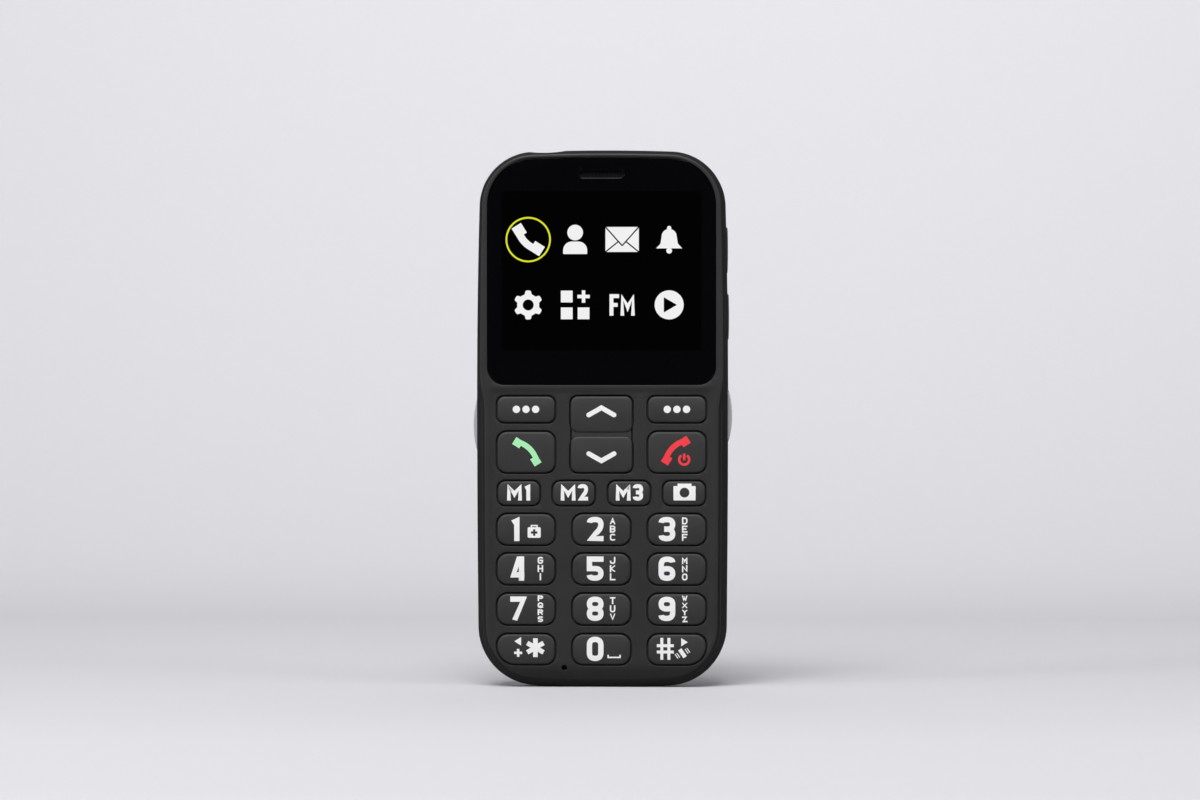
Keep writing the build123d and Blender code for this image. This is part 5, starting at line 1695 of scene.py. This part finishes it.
class PHONE_OT_keys(bpy.types.Operator):
    """Make the keycaps with their flanges, and the navigation key"""

    bl_idname = "phone.keys"
    bl_label = "Keys"

    def execute(self, context):
        scene = context.scene
        keys = scene.phone_keys
        tree = keycap_tree()
        for name in KEY_NAMES:
            cap = cap_of(name)
            skirt = keys.flange_depth
            form = Form()
            radii = hole_radii(name, cap.half_height + keys.gap)
            form.mesh.from_mesh(cap_mesh(tree, cap, radii, skirt))
            front = flat(crown_y + skirt)
            back = flat(crown_y + skirt + keys.flange_thickness)
            form.solid([points_of(key_hole(name, keys.flange))], [], [], front, back)
            if name == "key_5":
                reach = cap.half_width - keys.mark_inset
                for side in (-reach, reach):
                    mark = box_loop(cap.middle + Vector((side, 0)), keys.mark_width, keys.mark_length)
                    front = flat(crown_y - keys.mark_rise)
                    form.solid([mark], [], [], front, flat(crown_y + keys.edge))
            piece = form.finish(name + "_cap")
            finish_piece(piece, name, "key_plastic", "Key plastic", name)
        self.make_nav(keys, tree)
        return {"FINISHED"}

    def make_nav(self, keys, tree):
        """The navigation key: two pads, the bridge between them and the flange."""
        pads = nav_pads()
        form = Form()
        for cap in pads:
            form.mesh.from_mesh(cap_mesh(tree, cap, [keys.nav_radius] * 4, keys.nav_flange_depth))
        middle = (pads[0].middle + pads[1].middle) / 2
        width = 2 * (pads[0].half_width - keys.bridge_inset)
        bridge = box_loop(middle, width, 2 * pads[0].half_height)
        bridge_y = flat(crown_y + keys.crown + keys.bridge_drop)
        front_y = flat(crown_y + keys.nav_flange_depth)
        form.solid([bridge], [], [], bridge_y, front_y)
        back_y = flat(crown_y + keys.nav_flange_depth + keys.flange_thickness)
        form.solid([points_of(nav_hole(keys.flange))], [], [], front_y, back_y)
        piece = form.finish("nav_key_pads")
        finish_piece(piece, "nav_key", "key_plastic", "Key plastic", "nav_key")


# Left edge of the large sign and middle of the letters on the keys of each column, in millimetres
LEGEND_COLUMNS = ((-3.86, 3.52), (-3.58, 2.74), (-4.49, 1.91))
DIGIT_LETTERS = dict(zip("23456789", "ABC DEF GHI JKL MNO PQRS TUV WXYZ".split()))
# Width of the digit 1, as a share of the other digits' width
ONE_WIDTH_SHARE = 0.63
# More letters than this on a key stand closer together
ROOM_FOR_LETTERS = 3.4

# Signs on the keys: places from the cap's middle, widths and heights in millimetres, turns in degrees
SPACE_SIGN = ((1.65, -1.3), (1.65, -1.95), (4.55, -1.95), (4.55, -1.3))
STAR_PLACE, STAR_ARM, STAR_ARMS = (2.3, 0.4), (1.15, 4.6), 3
STAR_ARROW = ((-2.85, 1.95), (-1.2, 3.0), (-1.2, 0.9))
PLUS_CORNER, PLUS_SIZE, PLUS_STROKE_SHARE = (-2.9, -1.85), 1.95, 1.7
HASH_CORNER, HASH_WIDTH, HASH_HEIGHT, HASH_STROKE_SHARE = (-4.9, -2.5), 4.15, 5.35, 2
HASH_ARROW = ((1.05, 2.8), (2.65, 1.8), (1.05, 0.8))
SHAKE_X, SHAKE_Z, SHAKE_TURN = 1.35, -0.9, 35
SHAKE_BODY, SHAKE_LINE = (1.0, 2.3), (0.22, 1.3)
SHAKE_REACHES = (-1.45, -1.0, 1.0, 1.45)
CAMERA_BODY, CAMERA_CORNER = (2.7, 1.76), 0.15
CAMERA_PLACE, CAMERA_HUMP_PLACE, CAMERA_EYE_PLACE = (0.1, 0), (0.1, 1.9), (0.1, 0.15)
CAMERA_HUMP, CAMERA_EYE = (3.4, 0.9), 1.2
CALL_PLACE, CALL_SIZE = (0.2, 0.1), 3.57
END_PLACE, END_SIZE = (-0.28, 0.38), 3.6
POWER_PLACE, POWER_RADIUS, POWER_STROKE = (1.78, -1.8), 1.22, 0.6
BAG_PLACE, BAG_DROP, BAG_CORNER = (2.0, -0.5), 0.25, 0.35
BAG_BODY, BAG_CROSS = (1.6, 1.3), (1.6, 0.55)
BAG_HANDLE, BAG_HANDLE_STROKE = ((-0.7, 0.9), (-0.7, 1.45), (0.7, 1.45), (0.7, 0.9)), 0.32

# Memory keys: the left edge of their text and the width of its number, and how high it stands
MENU_TEXTS = ((-2.9, 1.72), (-3.2, 2.53), (-3.27, 2.53))
MENU_RISE = 0.2


class PHONE_OT_legends(bpy.types.Operator):
    """Print the digits, letters and signs on the keys"""

    bl_idname = "phone.legends"
    bl_label = "Legends"

    def execute(self, context):
        self.sizes = context.scene.phone_legends
        self.print_digits()
        self.print_zero()
        self.print_star()
        self.print_hash()
        self.print_menu()
        self.print_camera()
        self.print_calls()
        self.print_dots()
        self.print_arrows()
        return {"FINISHED"}

    def digit(self, name, cap, column_number):
        """Pieces of a large digit."""
        sizes = self.sizes
        start = LEGEND_COLUMNS[column_number][0]
        width = sizes.digit_width * (ONE_WIDTH_SHARE if name == "1" else 1)
        corner = cap.place(start, 0) + Vector((0, sizes.digit_rise - sizes.digit_height / 2))
        return glyph(name, corner, width, sizes.digit_height, sizes.digit_stroke)

    def print_digits(self):
        """Large digits, each with its column of letters."""
        sizes = self.sizes
        for number, digit in enumerate("123456789"):
            name = "key_" + digit
            cap = cap_of(name)
            pieces = self.digit(digit, cap, number % 3)
            holes = []
            if digit in DIGIT_LETTERS:
                row = DIGIT_LETTERS[digit]
                middle = cap.place(LEGEND_COLUMNS[number % 3][1], 0)
                pitch = sizes.letter_pitch * min(1, ROOM_FOR_LETTERS / len(row))
                pieces += column(
                    row,
                    middle + Vector((0, sizes.digit_rise)),
                    sizes.letter_width,
                    min(sizes.letter_height, pitch - sizes.letter_gap),
                    sizes.letter_stroke,
                    pitch,
                )
            else:
                bag, holes = aid_bag(cap)
                pieces += bag
            cap.printed(name + "_print", name, pieces, holes)

    def print_zero(self):
        """Zero and the sign of a space."""
        cap = cap_of("key_0")
        space = stroked(cap.line(SPACE_SIGN), self.sizes.letter_stroke)
        cap.printed("key_0_print", "key_0", self.digit("0", cap, 1) + space)

    def print_star(self):
        """Star, arrow and plus."""
        cap = cap_of("key_star")
        star = [cap.box(STAR_PLACE, *STAR_ARM, 180 / STAR_ARMS * i) for i in range(STAR_ARMS)]
        stroke = self.sizes.letter_stroke * PLUS_STROKE_SHARE
        plus = glyph("+", cap.place(*PLUS_CORNER), PLUS_SIZE * MM, PLUS_SIZE * MM, stroke)
        cap.printed("key_star_print", "key_star", star + [cap.line(STAR_ARROW)] + plus)

    def print_hash(self):
        """Number sign, arrow and vibration sign."""
        cap = cap_of("key_hash")
        stroke = self.sizes.letter_stroke * HASH_STROKE_SHARE
        pieces = glyph("#", cap.place(*HASH_CORNER), HASH_WIDTH * MM, HASH_HEIGHT * MM, stroke)
        pieces.append(cap.line(HASH_ARROW))
        pieces.append(cap.box((SHAKE_X, SHAKE_Z), *SHAKE_BODY, SHAKE_TURN))
        for reach in SHAKE_REACHES:
            pieces.append(cap.box((SHAKE_X + reach, SHAKE_Z + reach / 2), *SHAKE_LINE, SHAKE_TURN))
        cap.printed("key_hash_print", "key_hash", pieces)

    def print_menu(self):
        """Names of the memory keys."""
        sizes = self.sizes
        height = sizes.menu_height
        for number, (start, width) in enumerate(MENU_TEXTS, 1):
            name = f"key_m{number}"
            cap = cap_of(name)
            corner = cap.place(start, MENU_RISE) - Vector((0, height / 2))
            pieces = glyph("M", corner, sizes.menu_letter_width, height, sizes.menu_stroke)
            corner += Vector((sizes.menu_letter_width + sizes.menu_gap, 0))
            pieces += glyph(str(number), corner, width * MM, height, sizes.menu_stroke)
            cap.printed(name + "_print", name, pieces)

    def print_camera(self):
        """Camera with its hump and eye."""
        cap = cap_of("camera_key")
        half_width, half_height = (size * MM for size in CAMERA_BODY)
        corners = [CAMERA_CORNER * MM] * 4
        body = points_of(rounded_box(cap.place(*CAMERA_PLACE), half_width, half_height, corners))
        hump = cap.box(CAMERA_HUMP_PLACE, *CAMERA_HUMP)
        eye = points_of(disc(cap.place(*CAMERA_EYE_PLACE), CAMERA_EYE * MM))
        cap.printed("camera_key_print", "camera_key", [body, hump], [eye])

    def print_calls(self):
        """Green and red receivers."""
        cap = cap_of("call_key")
        pieces = handset(cap.place(*CALL_PLACE), CALL_SIZE * MM)
        cap.printed("call_key_print", "call_key", pieces, material="Green print")
        cap = cap_of("end_key")
        pieces = handset(cap.place(*END_PLACE), END_SIZE * MM, (-1, 1))
        pieces += power_sign(cap.place(*POWER_PLACE), POWER_RADIUS * MM, POWER_STROKE * MM)
        cap.printed("end_key_print", "end_key", pieces, material="Red print")

    def print_dots(self):
        """Three dots on each soft key."""
        sizes = self.sizes
        for name in ("soft_key_left", "soft_key_right"):
            cap = cap_of(name)
            middles = [cap.middle + Vector((i * sizes.dot_pitch, 0)) for i in (-1, 0, 1)]
            dots = [points_of(disc(middle, sizes.dot / 2)) for middle in middles]
            cap.printed(name + "_print", name, dots)

    def print_arrows(self):
        """Arrows on the navigation key."""
        sizes = self.sizes
        for cap, way, name in zip(nav_pads(), (1, -1), ("nav_up_print", "nav_down_print")):
            middle = cap.middle + Vector((0, sizes.chevron_rise * way))
            reach = sizes.chevron_width / 2
            rise = sizes.chevron_height / 2 * way
            path = [middle + Vector(place) for place in ((-reach, -rise), (0, rise), (reach, -rise))]
            cap.printed(name, "nav_key", rounded_line(path, sizes.chevron_stroke))


def aid_bag(cap):
    """Pieces and hole of a first-aid bag."""
    x, z = BAG_PLACE
    half_width, half_height = (size * MM for size in BAG_BODY)
    low = (x, z - BAG_DROP)
    body = rounded_box(cap.place(*low), half_width, half_height, [BAG_CORNER * MM] * 4)
    handle = cap.line([(x + across, z + up) for across, up in BAG_HANDLE])
    cross = [cap.box(low, *BAG_CROSS), cap.box(low, *BAG_CROSS[::-1])]
    return [points_of(body)] + stroked(handle, BAG_HANDLE_STROKE * MM), cross


# Icons on the screen, as shares of an icon's half size: widths, heights, radii, strokes and places
SHOULDER_SHARES = (0.83, 0.43)
SHOULDER_CORNER_SHARES = (0.6, 0.05, 0.05, 0.6)
HEAD_RISE_SHARE, HEAD_SHARE = 0.48, 0.54
GEAR_EYE_SHARE = 0.38
TILE_PITCH_SHARE, TILE_SHARE = 0.58, 0.81
TILE_PLACES = ((-1, 1), (-1, -1), (1, -1))
TILE_PLUS_SHARES = (0.85, 0.24)
RADIO_HEIGHT_SHARE, RADIO_START_SHARE = 1.48, -0.87
RADIO_LETTER_SHARES = (("F", 0, 0.66, 0.27), ("M", 0.76, 0.98, 0.25))
PLAY_SHARES = ((-0.37, 0.53), (0.54, 0), (-0.37, -0.53))
LETTER_SHARES = (1.15, 0.86)
LETTER_TIP_SHARES, LETTER_JOINT_SHARES = (0, -0.43), (0.29, -0.17)
LETTER_GAP_SHARE = 0.09
PICTURE_COLUMNS = 4


class PHONE_OT_picture(bpy.types.Operator):
    """Draw the menu picture that the display shows"""

    bl_idname = "phone.picture"
    bl_label = "Picture"

    def execute(self, context):
        scene = context.scene
        sizes = scene.phone_screen
        size = sizes.icon
        middle = Vector((sizes.shift, window_high.z - sizes.drop + sizes.row_rise))
        upper, lower = (
            [
                middle + Vector(((i - (PICTURE_COLUMNS - 1) / 2) * sizes.column_pitch, rise))
                for i in range(PICTURE_COLUMNS)
            ]
            for rise in (sizes.row_pitch / 2, -sizes.row_pitch / 2)
        )
        self.icon("picture_ring", *ring_pieces(upper[0], sizes.ring, sizes.ring_stroke), "Lit yellow")
        self.icon("picture_call", handset(upper[0], size, (-1, -1), PICTURE_STROKE_SHARE))
        self.icon("picture_person", person_pieces(upper[1], size))
        self.icon("picture_letter", *letter_pieces(upper[2], size))
        self.icon("picture_bell", bell_pieces(upper[3], size))
        eye = points_of(disc(lower[0], size * GEAR_EYE_SHARE))
        self.icon("picture_gear", [gear_loop(lower[0], size)], [eye])
        self.icon("picture_tiles", tile_pieces(lower[1], size))
        self.icon("picture_radio", radio_pieces(lower[2], size))
        triangle = [lower[3] + Vector(corner) * size for corner in PLAY_SHARES]
        button = points_of(disc(lower[3], size, BUTTON_STEPS))
        self.icon("picture_play", [button], [triangle])
        return {"FINISHED"}

    def icon(self, name, solids, holes=(), material="Lit white"):
        """One lit icon on the screen."""
        film = bpy.context.scene.phone_screen.film
        form = Form()
        form.solid(solids, holes, [], flat(window_low.y - film), flat(window_low.y))
        finish_piece(form.finish(name, weighted=False), "housing", "display", material)


def person_pieces(middle, size):
    """Pieces of a head and shoulders."""
    half_width, half_height = (size * part for part in SHOULDER_SHARES)
    corners = [size * part for part in SHOULDER_CORNER_SHARES]
    low = middle - Vector((0, size - half_height))
    shoulders = rounded_box(low, half_width, half_height, corners)
    head = disc(middle + Vector((0, size * HEAD_RISE_SHARE)), size * HEAD_SHARE)
    return [points_of(shoulders), points_of(head)]


def tile_pieces(middle, size):
    """Pieces of three tiles and a plus."""
    pitch = size * TILE_PITCH_SHARE
    tile = size * TILE_SHARE
    tiles = [box_loop(middle + Vector(place) * pitch, tile, tile) for place in TILE_PLACES]
    for width, height in (TILE_PLUS_SHARES, TILE_PLUS_SHARES[::-1]):
        tiles.append(box_loop(middle + Vector((1, 1)) * pitch, size * width, size * height))
    return tiles


def radio_pieces(middle, size):
    """Pieces of the two letters of the radio."""
    height = size * RADIO_HEIGHT_SHARE
    corner = middle + Vector((size * RADIO_START_SHARE, -height / 2))
    pieces = []
    for name, shift, width, stroke in RADIO_LETTER_SHARES:
        start = corner + Vector((size * shift, 0))
        pieces += glyph(name, start, size * width, height, size * stroke)
    return pieces


def letter_pieces(middle, size):
    """Solid and gaps of a closed envelope."""
    half_width, half_height = (size * part for part in LETTER_SHARES)
    tip = middle + Vector(LETTER_TIP_SHARES) * size
    across, along = LETTER_JOINT_SHARES
    gaps = []
    for side in (-1, 1):
        top = middle + Vector((side * half_width, half_height))
        foot = middle + Vector((side * half_width, -half_height))
        joint = middle + Vector((side * across, along)) * size
        for line in ([top, tip], [foot, joint]):
            gaps += stroked(line, size * LETTER_GAP_SHARE)
    return [box_loop(middle, 2 * half_width, 2 * half_height)], gaps


# CAD nodes that are drawn again with smooth surfaces, and nodes that only get their finish
SMOOTH_NODES = {
    "mid_housing": "Housing plastic",
    "rear_cover": "Housing plastic",
    "volume_up_key": "Key plastic",
    "volume_down_key": "Key plastic",
    "lock_key": "Silver paint",
    "torch_key": "Silver paint",
    "headphone_jack": "Socket plastic",
    "charging_socket": "Plain steel",
    "camera_module": "Socket plastic",
    "camera_window": "Smoked lens",
    "torch_lens": "Torch lens",
    "battery": "Battery wrap",
    "shield_cans": "Plain steel",
    "housing_screws": "Plain steel",
    "vibration_motor": "Plain steel",
    "loudspeaker": "Socket plastic",
    "keymat": "Silicone",
}
PLAIN_NODES = {
    "earpiece_mesh": "Dark mesh",
    "earpiece_receiver": "Socket plastic",
    "display_glass": "Dark screen",
    "display_frame": "Frame plastic",
    "display_flex": "Flex film",
    "dome_sheet": "Dome film",
    "main_board": "Solder mask",
    "microphone": "Silicone",
    "torch_lamp": "Lamp phosphor",
    "speaker_gasket": "Silicone",
    "antenna": "Flex film",
    "phone_card_holder": "Plain steel",
    "memory_card_holder": "Plain steel",
    "battery_contacts": "Gold plate",
    "side_switches": "Socket plastic",
}


class PHONE_OT_shells(bpy.types.Operator):
    """Give the side band, rear cover, side keys and inner pieces smooth surfaces and finishes"""

    bl_idname = "phone.shells"
    bl_label = "Shells and inner pieces"

    def execute(self, context):
        slots = {entry["node"]: entry["material_slot"] for entry in frame["record"]["subparts"]}
        for node, material in SMOOTH_NODES.items():
            source = frame["nodes"][node]
            form = Form()
            form.mesh.from_mesh(source.data)
            form.weld()
            piece = form.finish(node + "_smooth", SHELL_ANGLE)
            finish_piece(piece, source["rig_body"], slots[node], material, node)
        for node, material in PLAIN_NODES.items():
            source = frame["nodes"][node]
            source.data.materials.clear()
            source.data.materials.append(bpy.data.materials[material])
        return {"FINISHED"}


class PHONE_OT_stage(bpy.types.Operator):
    """Set up the camera, the pale floor and the soft lights"""

    bl_idname = "phone.stage"
    bl_label = "Stage"

    def execute(self, context):
        scene = context.scene
        sizes = scene.phone_stage
        self.make_floor(sizes)
        self.make_lights(sizes)
        camera_data = bpy.data.cameras.new("Camera")
        camera_data.sensor_width = SENSOR_WIDTH
        distance = sizes.distance / MM
        camera_data.lens = sizes.scale * distance * SENSOR_WIDTH / PHOTO_WIDTH
        camera_data.shift_x = (PHOTO_WIDTH / 2 - sizes.middle_column) / PHOTO_WIDTH
        camera_data.clip_start = CLIP_START
        camera = bpy.data.objects.new("Camera", camera_data)
        scene.collection.objects.link(camera)
        camera.location = (
            sizes.distance * sin(sizes.azimuth),
            -sizes.distance * cos(sizes.azimuth),
            sizes.eye_height,
        )
        camera.rotation_euler = (pi / 2, 0, sizes.azimuth)
        scene.camera = camera
        camera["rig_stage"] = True
        world = bpy.data.worlds.new("Studio")
        world.use_nodes = True
        nodes = Nodes(world.node_tree)
        background = world.node_tree.nodes["Background"]
        nodes.set(background, "Color", (*WORLD_TONE, 1.0))
        nodes.set(background, "Strength", sizes.world_light)
        scene.world = world
        scene.view_settings.view_transform = "Standard"
        return {"FINISHED"}

    def make_floor(self, sizes):
        """One sheet of paper: floor, curve and backdrop."""
        form = Form()
        profile = [(-sizes.floor_front, 0.0), (sizes.wall_distance - sizes.curve_radius, 0.0)]
        for step in range(1, FLOOR_STEPS + 1):
            angle = pi / 2 * step / FLOOR_STEPS
            profile.append((
                sizes.wall_distance - sizes.curve_radius * (1 - sin(angle)),
                sizes.curve_radius * (1 - cos(angle)),
            ))
        profile.append((sizes.wall_distance, sizes.wall_height))
        rings = [
            form.ring([(side * sizes.floor_width / 2, y, z) for side in (-1, 1)])
            for y, z in profile
        ]
        form.skin(rings, closed=False)
        data = bpy.data.meshes.new("Paper")
        form.mesh.to_mesh(data)
        form.mesh.free()
        floor = smoothed("Paper", data, PAPER_ANGLE, False)
        data.materials.append(self.paper(sizes))
        floor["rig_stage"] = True

    def paper(self, sizes):
        """Paper with a fine grain; its shade takes the place of the photograph's uneven light."""
        surface = Surface("Paper")
        grain = surface.noise(PAPER_WAVES, FINE_DETAIL)
        away = surface.output(surface.add("ShaderNodeSeparateXYZ", {}, (surface.place,)), "Y")
        # Painted shade: the paper's tone is darkened in bands by its distance towards the backdrop
        stops = [((place + SHADE_START_SHARE) * SHADE_SCALE, (tone,) * 3) for place, tone in PAINTED_PAPER_SHADE]
        place = (away / sizes.wall_distance + SHADE_START_SHARE) * SHADE_SCALE
        tones = surface.tones(grain, *around(sizes.floor_tone, PAPER_TONE_SHARE))
        shaded_paper = surface.product(tones, surface.ramp(place, stops))
        glossy_ray = surface.add("ShaderNodeLightPath", output=3)
        surface.look(
            base_color=surface.product(shaded_paper, 1 - glossy_ray * (1 - sizes.mirrored_tone)),
            roughness=PAPER_ROUGHNESS + grain * PAPER_GLOSS,
            specular_ior_level=PAPER_SHINE,
        )
        surface.bump(grain, PAPER_DEPTH)
        return surface.material

    def make_lights(self, sizes):
        """The soft boxes, each turned to what it lights."""
        for name, place, target, size, power in SOFT_BOXES:
            data = bpy.data.lights.new(name, "AREA")
            data.shape = "SQUARE"
            data.size = size
            data.energy = getattr(sizes, power)
            light = bpy.data.objects.new(name, data)
            light.location = place
            way = Vector(target) - Vector(place)
            light.rotation_euler = way.to_track_quat("-Z", "Y").to_euler()
            bpy.context.scene.collection.objects.link(light)
            light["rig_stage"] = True


class PHONE_PT_panel(bpy.types.Panel):
    """Sizes, finishes and steps of the feature phone"""

    bl_idname = "PHONE_PT_panel"
    bl_label = "Feature phone"
    bl_space_type = "VIEW_3D"
    bl_region_type = "UI"
    bl_category = "Phone"

    def draw(self, context):
        for name, group in GROUPS.items():
            box = self.layout.box()
            box.label(text=group.__doc__)
            for prop in group.__annotations__:
                box.prop(getattr(context.scene, name), prop)
        for step in STEPS:
            self.layout.operator(step.bl_idname)


GROUPS = {
    "phone_outline": PhoneOutline,
    "phone_face": PhoneFace,
    "phone_keys": PhoneKeys,
    "phone_legends": PhoneLegends,
    "phone_screen": PhoneScreen,
    "phone_finish": PhoneFinish,
    "phone_stage": PhoneStage,
}
STEPS = (
    PHONE_OT_finishes,
    PHONE_OT_front_housing,
    PHONE_OT_window,
    PHONE_OT_keys,
    PHONE_OT_legends,
    PHONE_OT_picture,
    PHONE_OT_shells,
    PHONE_OT_stage,
)


def register():
    for group in (*GROUPS.values(), *STEPS, PHONE_PT_panel):
        bpy.utils.register_class(group)
    for name, group in GROUPS.items():
        setattr(bpy.types.Scene, name, bpy.props.PointerProperty(type=group))


def unregister():
    for name in GROUPS:
        delattr(bpy.types.Scene, name)
    for group in (PHONE_PT_panel, *reversed(STEPS), *GROUPS.values()):
        bpy.utils.unregister_class(group)


def main():
    register()
    for step in STEPS:
        module, name = step.bl_idname.split(".")
        getattr(getattr(bpy.ops, module), name)()
    new_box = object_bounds()
    {"before": plain(cad_box), "after": plain(new_box)}


def plain(corners):
    """The two corners of a box as lists."""
    return [list(corner) for corner in corners]


if __name__ == "__main__":
    main()
